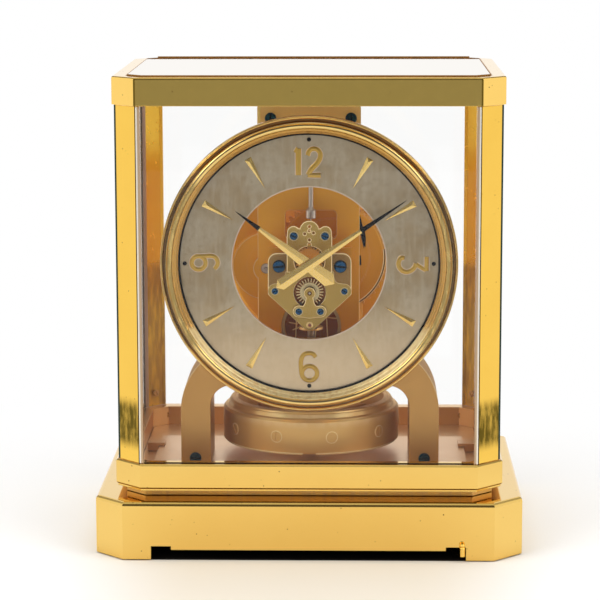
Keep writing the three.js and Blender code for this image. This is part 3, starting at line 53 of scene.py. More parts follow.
# Places taken from the part
HAND_Z = 142.2
AXIS_Y = -4.0
ESCAPE_Z = 125.6
HOUSING_Z = 134.0
HOUSING_DRAWN_Z = 132.5  # the drum that shows in the dial opening sits lower
BARREL = (10.0, 136.0)
SECOND = (-23.2, 131.6)
BARREL_TEETH, SECOND_LEAVES = 49, 7
DIAL_FRONT = -51.0
GEAR_SIZE = 2 * math.hypot(SECOND[0] - BARREL[0], SECOND[1] - BARREL[1]) / (BARREL_TEETH + SECOND_LEAVES)
PLINTH_WALLS = (103.1, 80.6, 26.9, 171.6)  # its inner walls: x, y, underside of the deck, cut corner
FRAME_FRONT = -60.0  # in front of here a frame's hollow keeps the frame's own tone
POST_FRONT = -68.6  # the lines on the front posts are drawn in front of here
POST_SIDE = 93.65  # just inside the posts' outer faces
POST_CORNER = 152.6  # x + y just inside their outer cut corners
PAINTED_BAND_EDGE = 7.0  # how softly a painted light or shade band begins and ends
SIDES = ((-1, "left"), (1, "right"))


# Node graphs
def start(name):
    material = bpy.data.materials.new(name)
    material.use_nodes = True
    material.node_tree.nodes.clear()
    return material, material.node_tree


def node(tree, kind, values=None, **settings):
    made = tree.nodes.new(kind)
    for key, value in settings.items():
        setattr(made, key, value)
    for key, value in (values or {}).items():
        if isinstance(value, bpy.types.NodeSocket):
            tree.links.new(value, made.inputs[key])
        else:
            made.inputs[key].default_value = value
    return made


def number(tree, operation, a, b=0.0, c=0.0, clamp=False):
    made = node(tree, "ShaderNodeMath", {0: a, 1: b, 2: c}, operation=operation, use_clamp=clamp)
    return made.outputs[0]


def spread(tree, value, low, high, to_low=0.0, to_high=1.0):
    made = node(
        tree,
        "ShaderNodeMapRange",
        {"Value": value, "From Min": low, "From Max": high, "To Min": to_low, "To Max": to_high},
        interpolation_type="SMOOTHSTEP",
    )
    return made.outputs["Result"]


def blended(tree, factor, a, b, mode="MIX"):
    made = node(tree, "ShaderNodeMix", data_type="RGBA", blend_type=mode)
    for key, value in ((0, factor), (6, a), (7, b)):
        if isinstance(value, bpy.types.NodeSocket):
            tree.links.new(value, made.inputs[key])
        else:
            made.inputs[key].default_value = value
    return made.outputs[2]


def noise(tree, place, scale, detail=4.0, roughness=0.55):
    made = node(
        tree,
        "ShaderNodeTexNoise",
        {"Vector": place, "Scale": scale, "Detail": detail, "Roughness": roughness},
    )
    return made.outputs["Fac"]


def solid(r, g, b):
    return (r, g, b, 1.0)


def shown(tree, shader):
    """Makes a finished shader the surface of its material."""
    out = node(tree, "ShaderNodeOutputMaterial")
    tree.links.new(shader.outputs[0], out.inputs["Surface"])


def metal(
    name, base, deep, rough, rough_more=0.1, patches=45.0, wave=0.0, grain=0.0, edge=0.0, specks=0.0,
    painted_band=None, depth=0.5, inside_shade=False, painted_lines=(), rim=(), dark_corner_line=None, hollow=None, scratched=True,
    specular=0.5, metallic=1.0,
):
    """Gilt, brass or steel: two tones in soft patches, wiped roughness, a wavy polish, fine scratches.

    painted_band is (low z, high z, strength, tint): a band by height of painted light or painted shade.
    painted_lines and rim hold (distance from the middle plane, tint) for the painted highlight and shade
    lines along the front and the rear posts. dark_corner_line is (x beyond, y before, tint), a dark line
    painted along a corner. hollow is (x, y, z, tint, extra roughness) for the inner walls of a frame, and
    inside_shade paints near-black shade on those of the plinth.
    """
    material, tree = start(name)
    place = node(tree, "ShaderNodeTexCoord").outputs["Object"]
    spot = node(tree, "ShaderNodeSeparateXYZ", {0: place}).outputs
    aside = number(tree, "ABSOLUTE", spot["X"])
    along = number(tree, "ABSOLUTE", spot["Y"])

    def product(mask, *others):
        for other in others:
            mask = number(tree, "MULTIPLY", mask, other)
        return mask

    def under(value, limit):
        return number(tree, "LESS_THAN", value, limit * MM)

    def over(value, limit):
        return number(tree, "GREATER_THAN", value, limit * MM)

    def painted(mask, tint, more=None, least=None):
        """Tints where the mask is 1, and either adds roughness there or keeps it above a least value."""
        tinted = blended(tree, mask, colour, solid(*tint))
        if more is not None:
            return tinted, number(tree, "MULTIPLY_ADD", mask, more, level)
        return tinted, number(tree, "MAXIMUM", level, product(mask, least))

    cloud = noise(tree, place, patches, 6.0)
    tone = product(spread(tree, cloud, 0.3, 0.75), depth)
    colour = blended(tree, tone, solid(*base), solid(*deep))
    smear = noise(tree, place, patches * 6.0, 5.0, 0.65)
    dusty = spread(tree, smear, 0.4, 0.75)
    level = number(tree, "MULTIPLY_ADD", dusty, rough_more, rough)
    if specks:
        cells = node(tree, "ShaderNodeTexVoronoi", {"Vector": place, "Scale": 330.0, "Randomness": 1.0})
        few = noise(tree, place, 95.0, 2.0)
        near = spread(tree, cells.outputs["Distance"], 0.16, 0.07)
        colour, level = painted(product(near, spread(tree, few, 0.55, 0.66), specks), (0.12, 0.06, 0.02), 0.3)
    # a band by height of painted light or painted shade, broken into clouds
    if painted_band:
        low, high, strength, tint = painted_band
        rise = spread(tree, spot["Z"], low * MM, (low + PAINTED_BAND_EDGE) * MM)
        fall = spread(tree, spot["Z"], high * MM, (high - PAINTED_BAND_EDGE) * MM)
        runs = node(tree, "ShaderNodeMapping", {"Vector": place, "Scale": (420.0, 420.0, 90.0)})
        cloudy = noise(tree, runs.outputs[0], 1.0, 5.0, 0.65)
        band_cloud = spread(tree, cloudy, 0.3, 0.62, 0.45, 1.0)
        colour, level = painted(product(rise, fall, band_cloud, strength), tint, 0.25)
    # painted shade, near black, on the walls of the plinth's hollow
    if inside_shade:
        x_wall, y_wall, deck, corner = PLINTH_WALLS
        within = product(under(along, y_wall), under(spot["Z"], deck), under(aside, x_wall))
        within = product(within, under(number(tree, "ADD", aside, along), corner))
        colour, level = painted(within, (0.012, 0.009, 0.007), 0.6)
    if hollow:
        x_wall, y_wall, height, tint, more = hollow
        held = product(under(aside, x_wall), under(along, y_wall), under(spot["Z"], height))
        held = product(held, over(spot["Y"], FRAME_FRONT))
        colour, level = painted(held, tint, more)
    # painted highlight and shade lines along the posts' edges
    for inner, tint in painted_lines:
        colour, level = painted(product(under(spot["Y"], POST_FRONT), under(aside, inner)), tint, least=0.45)
    for outer, tint in rim:
        strip = product(over(aside, outer), under(aside, POST_SIDE))
        strip = product(strip, under(number(tree, "ADD", aside, spot["Y"]), POST_CORNER))
        colour, level = painted(strip, tint, least=0.5)
    # a dark line painted along a corner
    if dark_corner_line:
        colour, level = painted(product(over(aside, dark_corner_line[0]), under(spot["Y"], dark_corner_line[1])), dark_corner_line[2], least=0.4)

    def bumped(height, distance, below):
        values = {"Height": height, "Distance": distance * MM, "Strength": 1.0}
        if below is not None:
            values["Normal"] = below
        return node(tree, "ShaderNodeBump", values).outputs[0]

    normal = None
    if edge:
        normal = node(tree, "ShaderNodeBevel", {"Radius": edge * MM}, samples=4).outputs[0]
    if wave:
        normal = bumped(noise(tree, place, 38.0, 2.0), wave, normal)
    if grain:
        normal = bumped(noise(tree, place, 2600.0, 2.0), grain, normal)
    if scratched:
        cross = node(tree, "ShaderNodeMapping", {"Vector": place, "Scale": (160.0, 160.0, 2600.0)})
        cross.inputs["Rotation"].default_value = (0.5, 0.4, 0.9)
        hair = spread(tree, noise(tree, cross.outputs[0], 1.0, 2.0), 0.62, 0.7)
        normal = bumped(hair, 0.0012, normal)
    if normal is None:
        normal = bumped(smear, 0.0015, None)
    surface = {"Base Color": colour, "Metallic": metallic, "Roughness": level, "Normal": normal}
    surface["Specular IOR Level"] = specular
    shader = node(tree, "ShaderNodeBsdfPrincipled", surface)
    shown(tree, shader)
    return material


def clear_glass(name, tint, gloss, mirror_tint=(1.0, 1.0, 1.0), clear_from=None):
    """See-through pane with a wiped film; behind clear_from (along Y) it mirrors no more."""
    material, tree = start(name)
    place = node(tree, "ShaderNodeTexCoord").outputs["Object"]
    film = spread(tree, noise(tree, place, 14.0, 5.0), 0.45, 0.8)
    through = node(tree, "ShaderNodeBsdfTransparent", {"Color": solid(*tint)})
    mirror = node(tree, "ShaderNodeBsdfGlossy", {"Color": solid(*mirror_tint)})
    tree.links.new(number(tree, "MULTIPLY_ADD", film, 0.03, 0.0), mirror.inputs["Roughness"])
    grazing = node(tree, "ShaderNodeFresnel", {"IOR": 1.45}).outputs[0]
    shine = number(tree, "MULTIPLY", grazing, gloss, clamp=True)
    if clear_from is not None:
        back = node(tree, "ShaderNodeSeparateXYZ", {0: place}).outputs["Y"]
        shine = number(tree, "MULTIPLY", shine, spread(tree, back, (clear_from + 5.0) * MM, clear_from * MM))
    mix = node(tree, "ShaderNodeMixShader", {0: shine, 1: through.outputs[0], 2: mirror.outputs[0]})
    shown(tree, mix)
    return material


polished = metal(
    "gilt_polished", (0.95, 0.63, 0.15), (0.83, 0.47, 0.09), 0.09, 0.12, wave=0.02, specks=0.8, edge=0.5,
)
# Front posts: painted highlight and shade lines along their inner edges, a painted dark reflection band low
# down, and a dark line along the outer corner
front_post_painted_lines = ((83.35, (0.05, 0.025, 0.01)), (82.8, (1.0, 0.93, 0.80)), (82.05, (0.62, 0.44, 0.28)))
post_gilt = metal(
    "gilt_post", (0.96, 0.60, 0.10), (0.88, 0.52, 0.075), 0.07, 0.05, wave=0.01, specks=0.7, edge=0.5,
    depth=0.3, painted_band=(51.0, 79.0, 1.0, (0.13, 0.085, 0.006)), painted_lines=front_post_painted_lines,
    dark_corner_line=(93.25, -59.85, (0.03, 0.05, 0.035)),
)
# Rear posts: painted highlight and shade lines along their outer edges (rim) and a painted dark reflection
# over most of their height
rear_gilt = metal(
    "gilt_rear", (1.0, 0.62, 0.055), (0.92, 0.48, 0.035), 0.2, 0.1, wave=0.02, specks=0.4, edge=0.5,
    metallic=0.6,
    rim=((89.5, (0.50, 0.36, 0.28)), (91.0, (0.02, 0.018, 0.02)), (92.3, (0.62, 0.46, 0.32))),
    painted_band=(42.0, 128.0, 0.75, (0.34, 0.17, 0.035)),
)
# Plinth: painted shade, near black, in its hollow
case_gilt = metal(
    "gilt_case", (0.86, 0.575, 0.16), (0.80, 0.50, 0.12), 0.06, 0.04, wave=0.01, specks=1.0, edge=0.35,
    depth=0.2, inside_shade=True,
)
# Upper frame: painted shade on its inner walls and a dark line painted along its cut corners
upper_gilt = metal(
    "gilt_upper", (1.0, 0.655, 0.165), (0.93, 0.58, 0.13), 0.06, 0.04, wave=0.01, specks=1.0, edge=0.35,
    depth=0.2, hollow=(88.7, 66.3, 236.5, (0.60, 0.31, 0.07), 0.2),
    dark_corner_line=(82.75, -72.55, (0.22, 0.14, 0.02)),
)
low_gilt = metal(
    "gilt_low", (0.88, 0.58, 0.155), (0.80, 0.49, 0.12), 0.06, 0.04, wave=0.01, specks=0.9, edge=0.35,
    depth=0.2, hollow=(94.6, 72.2, 46.4, (0.85, 0.55, 0.25), 0.25),
)
# Case floor and clips: painted light, lighter and yellower, on their lower faces
floor_gilt = metal(
    "gilt_floor", (0.80, 0.50, 0.26), (0.66, 0.38, 0.17), 0.32, 0.1, specks=0.3, metallic=0.85, depth=0.6,
    painted_band=(10.0, 37.0, 0.9, (0.95, 0.64, 0.21)), wave=0.02, edge=0.35,
)
rose = metal(
    "gilt_rose", (0.65, 0.36, 0.105), (0.59, 0.31, 0.085), 0.42, 0.08, grain=0.005, edge=0.4,
    metallic=0.65, wave=0.02,
)
# Pendulum ring: painted light on its top
ring_rose = metal(
    "gilt_ring", (0.80, 0.49, 0.165), (0.72, 0.42, 0.13), 0.42, 0.06, metallic=0.55,
    painted_band=(57.0, 80.0, 0.8, (1.0, 0.76, 0.42)),
)
base_rose = metal(
    "gilt_base", (0.86, 0.58, 0.34), (0.76, 0.48, 0.26), 0.34, 0.08, grain=0.006, edge=0.3, metallic=0.8,
    wave=0.02,
)
# Bridge plate: painted light at its top, where the upper frame shades it
amber = metal(
    "gilt_bridge", (0.88, 0.42, 0.035), (0.78, 0.34, 0.025), 0.36, 0.04, patches=22.0, edge=0.3, depth=0.5,
    scratched=False, metallic=0.55, painted_band=(190.0, 260.0, 1.0, (1.0, 0.88, 0.38)),
)
# lighter copy of the bridge gilt for the suspension bridge: painted light where the upper frame shades it
crown_amber_lit = metal("gilt_crown_lit", (1.0, 0.68, 0.24), (1.0, 0.60, 0.18), 0.4, 0.1, edge=0.4, metallic=0.45)
slab_amber = metal("gilt_slab", (0.98, 0.60, 0.15), (0.86, 0.46, 0.09), 0.5, 0.1, edge=0.4, metallic=0.5)
drum = metal(
    "gilt_drum", (0.86, 0.40, 0.03), (0.74, 0.32, 0.02), 0.34, 0.04, patches=22.0, depth=0.5,
    scratched=False, metallic=0.5,
)
olive = metal(
    "brass_plate", (0.47, 0.31, 0.08), (0.36, 0.22, 0.045), 0.36, 0.1, grain=0.004, metallic=0.7,
    wave=0.02,
)
# darker copy of the plate brass: painted shade on the front plate and in the bezel's groove
olive_shaded = metal(
    "brass_plate_shaded", (0.33, 0.19, 0.06), (0.23, 0.12, 0.03), 0.4, 0.1, metallic=0.7, wave=0.02,
)
wheel_brass = metal("brass_wheel", (0.86, 0.44, 0.09), (0.72, 0.34, 0.06), 0.34, 0.1, metallic=0.6)
pale = metal("brass_pale", (0.95, 0.68, 0.30), (0.86, 0.56, 0.22), 0.3, 0.1, metallic=0.7)
# lighter, mostly non-metallic brass for front bevels, bright lines and thin bright parts: painted highlight
highlight_brass = metal("brass_highlight", (1.0, 0.80, 0.42), (0.95, 0.70, 0.34), 0.5, 0.1, metallic=0.15)
soft_ring = metal("brass_soft", (0.66, 0.54, 0.30), (0.55, 0.42, 0.20), 0.36, 0.1, metallic=0.6)
# Bezel: a painted darker band on its left and right sides, between top and bottom
bezel_gilt = metal(
    "gilt_bezel", (0.93, 0.67, 0.25), (0.86, 0.57, 0.18), 0.09, 0.05, wave=0.006, specks=0.2,
    painted_band=(98.0, 186.0, 0.9, (0.42, 0.29, 0.09)),
)
# Inner slope of the bezel: painted light on its lower part
bezel_slope = metal(
    "gilt_bezel_slope", (0.72, 0.44, 0.12), (0.64, 0.37, 0.09), 0.2, 0.06, metallic=0.85, scratched=False,
    painted_band=(60.0, 114.0, 0.9, (1.0, 0.88, 0.52)),
)
numeral_gilt = metal("gilt_numeral", (0.54, 0.34, 0.07), (0.44, 0.26, 0.045), 0.3, 0.1, metallic=0.7)
dart_gilt = metal("gilt_dart", (0.95, 0.70, 0.26), (0.84, 0.54, 0.14), 0.16, 0.1, metallic=0.85)
halo = metal("dial_halo", (0.66, 0.52, 0.40), (0.54, 0.42, 0.30), 0.5, 0.1, metallic=0.4)
steel = metal("steel_bright", (0.54, 0.47, 0.41), (0.42, 0.36, 0.31), 0.3, 0.1, scratched=False)
cork = metal("seal_brown", (0.24, 0.12, 0.035), (0.15, 0.07, 0.02), 0.9, 0.1, metallic=0.0, specular=0.0)
blued = metal("steel_blued", (0.017, 0.08, 0.17), (0.014, 0.062, 0.135), 0.24, 0.06)
black = metal("steel_black", (0.014, 0.014, 0.015), (0.009, 0.008, 0.008), 0.25, 0.15)
# dark brown: painted shade on the escape pivot and hub and between the barrel's beads
shade = metal("brown_painted_shade", (0.16, 0.06, 0.015), (0.10, 0.035, 0.01), 0.5, 0.2)
# reddish brown for the discs set behind the port and the escape wheel: painted shade of the movement's
# interior
port_shade_brown = metal(
    "brown_port_shade", (0.40, 0.14, 0.03), (0.22, 0.07, 0.015), 0.45, 0.2, patches=160.0, metallic=0.3,
)
jewel_red = metal("jewel_ruby", (0.42, 0.12, 0.12), (0.30, 0.05, 0.06), 0.08, 0.05, metallic=0.3)


def dial_finish():
    """Dull silvered ring with a brown patina in clouds and streaks; painted light warms its bottom, pales its
    top.
    """
    material, tree = start("dial_silvered")
    place = node(tree, "ShaderNodeTexCoord").outputs["Object"]
    cloud = noise(tree, place, 55.0, 8.0, 0.62)
    warm = spread(tree, cloud, 0.38, 0.66)
    fine = spread(tree, noise(tree, place, 340.0, 5.0, 0.7), 0.35, 0.75)
    streak = node(tree, "ShaderNodeMapping", {"Vector": place, "Scale": (420.0, 60.0, 60.0)})
    drawn = spread(tree, noise(tree, streak.outputs[0], 1.0, 4.0), 0.42, 0.7)
    colour = blended(tree, warm, solid(0.42, 0.345, 0.235), solid(0.36, 0.265, 0.145))
    colour = blended(tree, number(tree, "MULTIPLY", fine, 0.4), colour, solid(0.27, 0.215, 0.13))
    colour = blended(tree, number(tree, "MULTIPLY", drawn, 0.35), colour, solid(0.50, 0.43, 0.32))
    height = node(tree, "ShaderNodeSeparateXYZ", {0: place}).outputs["Z"]
    # painted light: lighter and warmer towards the bottom
    low = number(tree, "MULTIPLY", spread(tree, height, 0.135, 0.085), 0.62)
    colour = blended(tree, low, colour, solid(0.86, 0.66, 0.42))
    # painted light: paler towards the top
    high = number(tree, "MULTIPLY", spread(tree, height, 0.175, 0.205), 0.4)
    colour = blended(tree, high, colour, solid(0.52, 0.44, 0.32))
    level = number(tree, "MULTIPLY_ADD", fine, 0.2, 0.38)
    shape = number(tree, "MULTIPLY_ADD", fine, 0.5, noise(tree, place, 1500.0, 3.0))
    bump = node(tree, "ShaderNodeBump", {"Height": shape, "Distance": 0.012 * MM, "Strength": 1.0})
    shader = node(
        tree,
        "ShaderNodeBsdfPrincipled",
        {"Base Color": colour, "Metallic": 0.55, "Roughness": level, "Normal": bump.outputs[0]},
    )
    shown(tree, shader)
    return material


silvered = dial_finish()
pane = clear_glass("glass_pane", (0.997, 0.997, 0.995), 0.35)
lid = clear_glass("glass_top", (0.99, 0.975, 0.965), 1.6, (0.965, 0.94, 0.905), 47.0)


# Geometry
def place_mesh(name, mesh, material, body, sharp=12.0, replaces=(), slot=None, edge_highlight=None, upper=False):
    mesh.name = name
    piece = bpy.data.objects.new(name, mesh)
    collection.objects.link(piece)
    mesh.materials.clear()
    mesh.materials.append(material)
    mesh.shade_smooth()
    mesh.set_sharp_from_angle(angle=math.radians(sharp))
    # bevels facing the front, and only upward ones when upper is set, get the second material: painted
    # highlight
    if edge_highlight:
        mesh.materials.append(edge_highlight)
        for face in mesh.polygons:
            turned = -0.96 < face.normal.y < -0.2 and (face.normal.z > 0.15 or not upper)
            face.material_index = 1 if turned else 0
    # the floors of the screw slots are painted black: painted shade
    if slot == "blued_steel":
        mesh.materials.append(black)
        front = min(corner.co.y for corner in mesh.vertices)
        for face in mesh.polygons:
            if face.normal.y < -0.8 and face.center.y > front + 0.15 * MM:
                face.material_index = 1
    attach(piece, body)
    if replaces:
        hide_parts(*replaces)
    return piece


def finished(bm, scale=MM):
    bmesh.ops.remove_doubles(bm, verts=bm.verts, dist=1e-4)
    bmesh.ops.recalc_face_normals(bm, faces=bm.faces)
    bmesh.ops.scale(bm, vec=(scale, scale, scale), verts=bm.verts)
    mesh = bpy.data.meshes.new("made")
    bm.to_mesh(mesh)
    bm.free()
    return mesh


def band(low, high, front, back):
    """Four-cornered profile."""
    return [(low, front), (high, front), (high, back), (low, back)]


def eased(points, radius, steps=2):
    """Closed profile with its corners rounded a little."""
    made = []
    count = len(points)
    for i, here in enumerate(points):
        p = Vector(here)
        to_last = Vector(points[i - 1]) - p
        to_next = Vector(points[(i + 1) % count]) - p
        if p.x <= 0 or to_last.length < 1e-6 or to_next.length < 1e-6:
            made.append(tuple(p))
            continue
        reach = min(radius, to_last.length * 0.4, to_next.length * 0.4)
        a = p + to_last.normalized() * reach
        b = p + to_next.normalized() * reach
        for k in range(steps + 1):
            t = k / steps
            q = a * (1 - t) ** 2 + p * (2 * t * (1 - t)) + b * t**2
            made.append((q.x, q.y))
    return made


def lathe(points, centre, standing=False, segments=192):
    """Turned piece from a closed profile of (radius, along).

    Its axis lies level at (x, z) or stands at (x, y).
    """
    bm = bmesh.new()
    rings = []
    for r, along in points:
        ring = []
        for i in range(1 if r < 1e-6 else segments):
            a = 2 * math.pi * i / segments
            u, v = centre[0] + r * math.cos(a), centre[1] + r * math.sin(a)
            ring.append(bm.verts.new((u, v, along) if standing else (u, along, v)))
        rings.append(ring)
    for k, ring in enumerate(rings):
        other = rings[(k + 1) % len(rings)]
        if len(ring) == 1 and len(other) == 1:
            continue
        for i in range(segments):
            j = (i + 1) % segments
            if len(ring) == 1:
                corners = [ring[0], other[j], other[i]]
            elif len(other) == 1:
                corners = [ring[i], ring[j], other[0]]
            else:
                corners = [ring[i], ring[j], other[j], other[i]]
            bm.faces.new(corners)
    return finished(bm)


def arc(x, z, radius, first, last, steps=24):
    """Points on a circle seen from the front, angles in degrees from +X."""
    return [
        (
            x + radius * math.cos(math.radians(first + (last - first) * i / steps)),
            z + radius * math.sin(math.radians(first + (last - first) * i / steps)),
        )
        for i in range(steps + 1)
    ]


def circle(x, z, radius, steps=96):
    return arc(x, z, radius, 0, 360, steps)[:-1]


def flat(loops, y0, y1, bevel=0.15, steps=1):
    """Plate drawn in X and Z with its holes, from its front y0 back to y1, with small rounded edges."""
    curve = bpy.data.curves.new("outline", "CURVE")
    curve.dimensions = "2D"
    curve.fill_mode = "BOTH"
    curve.extrude = (y1 - y0) / 2 - bevel
    curve.bevel_depth = bevel
    curve.bevel_resolution = steps
    curve.offset = -bevel
    for loop in loops:
        spline = curve.splines.new("POLY")
        spline.points.add(len(loop) - 1)
        for point, (x, z) in zip(spline.points, loop):
            point.co = (x, z, 0, 1)
        spline.use_cyclic_u = True
    return from_curve(curve, Matrix.Translation((0, (y0 + y1) / 2, 0)) @ Matrix.Rotation(math.pi / 2, 4, "X"))


def from_curve(curve, place):
    holder = bpy.data.objects.new("outline", curve)
    collection.objects.link(holder)
    view = bpy.context.evaluated_depsgraph_get()
    mesh = bpy.data.meshes.new_from_object(holder.evaluated_get(view), depsgraph=view)
    bpy.data.objects.remove(holder)
    bm = bmesh.new()
    bm.from_mesh(mesh)
    bm.transform(place)
    bpy.data.meshes.remove(mesh)
    return finished(bm)


def carved(mesh, *boxes):
    """Cuts boxes, given as (x0, x1, y0, y1, z0, z1), out of a closed mesh."""
    whole = bpy.data.objects.new("whole", mesh)
    collection.objects.link(whole)
    cutters = []
    for x0, x1, y0, y1, z0, z1 in boxes:
        bm = bmesh.new()
        bmesh.ops.create_cube(bm, size=1)
        bmesh.ops.scale(bm, vec=(x1 - x0, y1 - y0, z1 - z0), verts=bm.verts)
        bmesh.ops.translate(bm, vec=((x0 + x1) / 2, (y0 + y1) / 2, (z0 + z1) / 2), verts=bm.verts)
        cutter = bpy.data.objects.new("cutter", finished(bm))
        collection.objects.link(cutter)
        cutters.append(cutter)
        step = whole.modifiers.new("cut", "BOOLEAN")
        step.operation = "DIFFERENCE"
        step.solver = "EXACT"
        step.object = cutter
    view = bpy.context.evaluated_depsgraph_get()
    made = bpy.data.meshes.new_from_object(whole.evaluated_get(view), depsgraph=view)
    for spare in [whole, *cutters]:
        bpy.data.objects.remove(spare)
    return made


def turned_copy(mesh, matrix):
    mesh.transform(matrix)
    return mesh


def slotted_head(x, z, face, radius, height, slot, depth, upright_slot=False, turn=0.0):
    """Round screw head with a slot, facing the front; turn swings the slot in its plane."""
    front = face - height
    rim = min(0.35, radius * 0.2)
    profile = [(0, front), (radius - rim, front), (radius - rim * 0.3, front + rim * 0.3)]
    profile += [(radius, front + rim), (radius, face), (0, face)]
    mesh = lathe(profile, (0, 0), segments=64)
    long, short = radius * 1.2, slot / 2
    sides = (-short, short, front - 1, front + depth, -long, long)
    if not upright_slot:
        sides = (-long, long, front - 1, front + depth, -short, short)
    mesh = carved(mesh, sides)
    swing = Matrix.Rotation(math.radians(turn), 4, "Y")
    return turned_copy(mesh, Matrix.Translation((x * MM, 0, z * MM)) @ swing)


def blued_screw(kind, name, *head):
    """Blued screw in place of the part's own plain one."""
    label = kind + "_screw_"
    mesh = slotted_head(*head)
    place_mesh(label + "fine_" + name, mesh, blued, "case", 20, (label + name,), "blued_steel")


# Case, floor and panes keep the part's own shapes
def dress(material, *names):
    for name in names:
        thing = nodes[name]
        thing.data.materials.clear()
        thing.data.materials.append(material)


dress(case_gilt, "plinth")
dress(upper_gilt, "upper_frame")
dress(low_gilt, "lower_frame")
dress(post_gilt, "post_front_left", "post_front_right")
dress(rear_gilt, "post_rear_left", "post_rear_right")
dress(floor_gilt, "case_floor", "base_clip_left", "base_clip_right")
dress(polished, "levelling_foot_left", "levelling_foot_right", "rear_foot", "lock_lever")
dress(pane, "left_glass", "right_glass", "rear_glass", "front_glass")
dress(lid, "top_glass")
dress(base_rose, "movement_base")
dress(rose, "pendulum_cross")
dress(amber, "back_plate")
dress(slab_amber, "rear_plate")
dress(crown_amber_lit, "suspension_bridge")
dress(wheel_brass, "centre_wheel", "motion_wheel", "hour_wheel", "second_wheel", "escape_wheel")
dress(wheel_brass, "barrel_cover")
dress(steel, "lock_pin", "cannon_pinion", "third_wheel", "pallet_lever", "barrel_arbor", "suspension_wire")
dress(blued, "mainspring")


# Support arch
def arch():
    foot, outer, inner, top = 39.0, 64.6, 49.7, 100.3
    shoulder, under, fillet = 34.3, 79.0, 10.7
    loop = [(-outer, foot), (-inner, foot)]
    loop += arc(fillet - inner, under - fillet, fillet, 180, 90, 16)
    loop += arc(inner - fillet, under - fillet, fillet, 90, 0, 16)
    loop += [(inner, foot), (outer, foot)]
    loop += arc(outer - shoulder, top - shoulder, shoulder, 0, 66, 28)
    loop += arc(shoulder - outer, top - shoulder, shoulder, 114, 180, 28)
    mesh = flat([loop], -41.0, -7.0, 0.5, 2)
    place_mesh("arch_fine", mesh, rose, "case", 14, ("support_arch",), "matt_gilt", highlight_brass, True)


arch()
for side, name in SIDES:
    blued_screw("arch", name, side * 57.4, 41.9, -41.3, 2.9, 1.1, 0.7, 0.5)


# Bridge plate with its window, port and ear
def bridge():
    left, right, bottom, top, r = -27.4, 24.8, 79.5, 216.3, 2.2
    reach, port_z = 6.5, 101.2
    ear = math.degrees(math.acos((left - SECOND[0]) / reach))
    edge = [(left, bottom), (right, bottom)]
    edge += arc(right - r, top - r, r, 0, 90, 8) + arc(left + r, top - r, r, 90, 180, 8)
    edge += arc(SECOND[0], SECOND[1], reach, ear, 360 - ear, 24)
    west, east, sill, lintel, q = -13.2, 13.0, 147.0, 161.7, 2.4
    window = arc(east - q, lintel - q, q, 0, 90, 8) + arc(west + q, lintel - q, q, 90, 180, 8)
    window += arc(west + q, sill + q, q, 180, 270, 8) + arc(east - q, sill + q, q, 270, 360, 8)
    face = flat([edge, window, circle(0, port_z, 15.3)], 2.0, 3.2, 0.25)
    place_mesh("bridge_face", face, amber, "case", 14, ("bridge_plate",), "brushed_gilt", pale)
    body = flat([edge, window, circle(0, port_z, 13.7)], 3.1, 8.0, 0.25)
    place_mesh("bridge_body", body, amber, "case", 14, (), "brushed_gilt")
    for side, name in SIDES:
        a, b = sorted((side * 15.5, side * 25.4))
        foot = flat([band(a, b, 79.5, 99.0)], -6.7, 2.2, 0.4)
        place_mesh("bridge_foot_" + name, foot, amber, "case", 14, (), "brushed_gilt")
    # a disc behind the port: painted shade
    back = band(0, 15.0, 8.2, 8.5)
    place_mesh("port_shade_disc", lathe(back, (0, port_z)), port_shade_brown, "case", 14)
    # thin rods seen through the port, in the painted highlight brass
    rods = [(-8.0, 88.9, 108.6, 3.0), (8.2, 88.9, 108.4, -3.0), (1.6, 88.0, 99.0, 8.0)]
    rods += [(-6.2, 96.4, 104.0, 68.0), (9.6, 101.4, 109.0, -84.0), (-9.4, 100.0, 104.6, -78.0)]
    for i, (x, low, high, lean) in enumerate(rods):
        middle, half = (low + high) / 2, (high - low) / 2
        rod = band(0, 0.32, -half, half)
        lay = Matrix.Rotation(math.radians(lean), 4, "Y")
        lay = Matrix.Translation((x * MM, 6.4 * MM, middle * MM)) @ lay
        place_mesh("port_rod_%d" % i, turned_copy(lathe(rod, (0, 0), True, 16), lay), highlight_brass, "case", 20)
    rim = band(13.7, 15.2, 2.4, 3.3)
    place_mesh("port_rim", lathe(eased(rim, 0.3), (0, port_z)), soft_ring, "case", 14)
    pin = [(0, 0.9), (0.7, 0.9), (1.1, 1.3), (1.1, 1.75), (3.0, 1.75), (3.0, 1.6), (3.4, 1.5), (3.6, 2.1)]
    pin += [(3.6, 2.6), (0, 2.6)]
    pin = [(r * 0.74, y) for r, y in pin]
    place_mesh("ear_pin", lathe(pin, SECOND, segments=64), steel, "case", 20)
    # a pale line round the ear's edge: painted highlight
    rim_highlight = band(6.25, 6.6, 1.8, 2.4)
    mesh = carved(lathe(rim_highlight, SECOND, segments=128), (-27.4, -10.0, 0.0, 4.0, 120.0, 145.0))
    place_mesh("ear_rim_highlight", mesh, pale, "case", 20)
    for side, name in SIDES:
        blued_screw("suspension", name, side * 20.4, 209.3, -2.6, 2.9, 1.1, 0.7, 0.5, True)


bridge()
guard = [(0.7, 158.4), (2.3, 158.4), (2.6, 158.7), (2.6, 162.4), (2.3, 163.0), (1.2, 164.2)]
guard += [(1.2, 191.7), (0.7, 191.7)]
place_mesh("guard_fine", lathe(guard, (0, AXIS_Y), True, 64), steel, "case", 20, ("suspension_guard",))


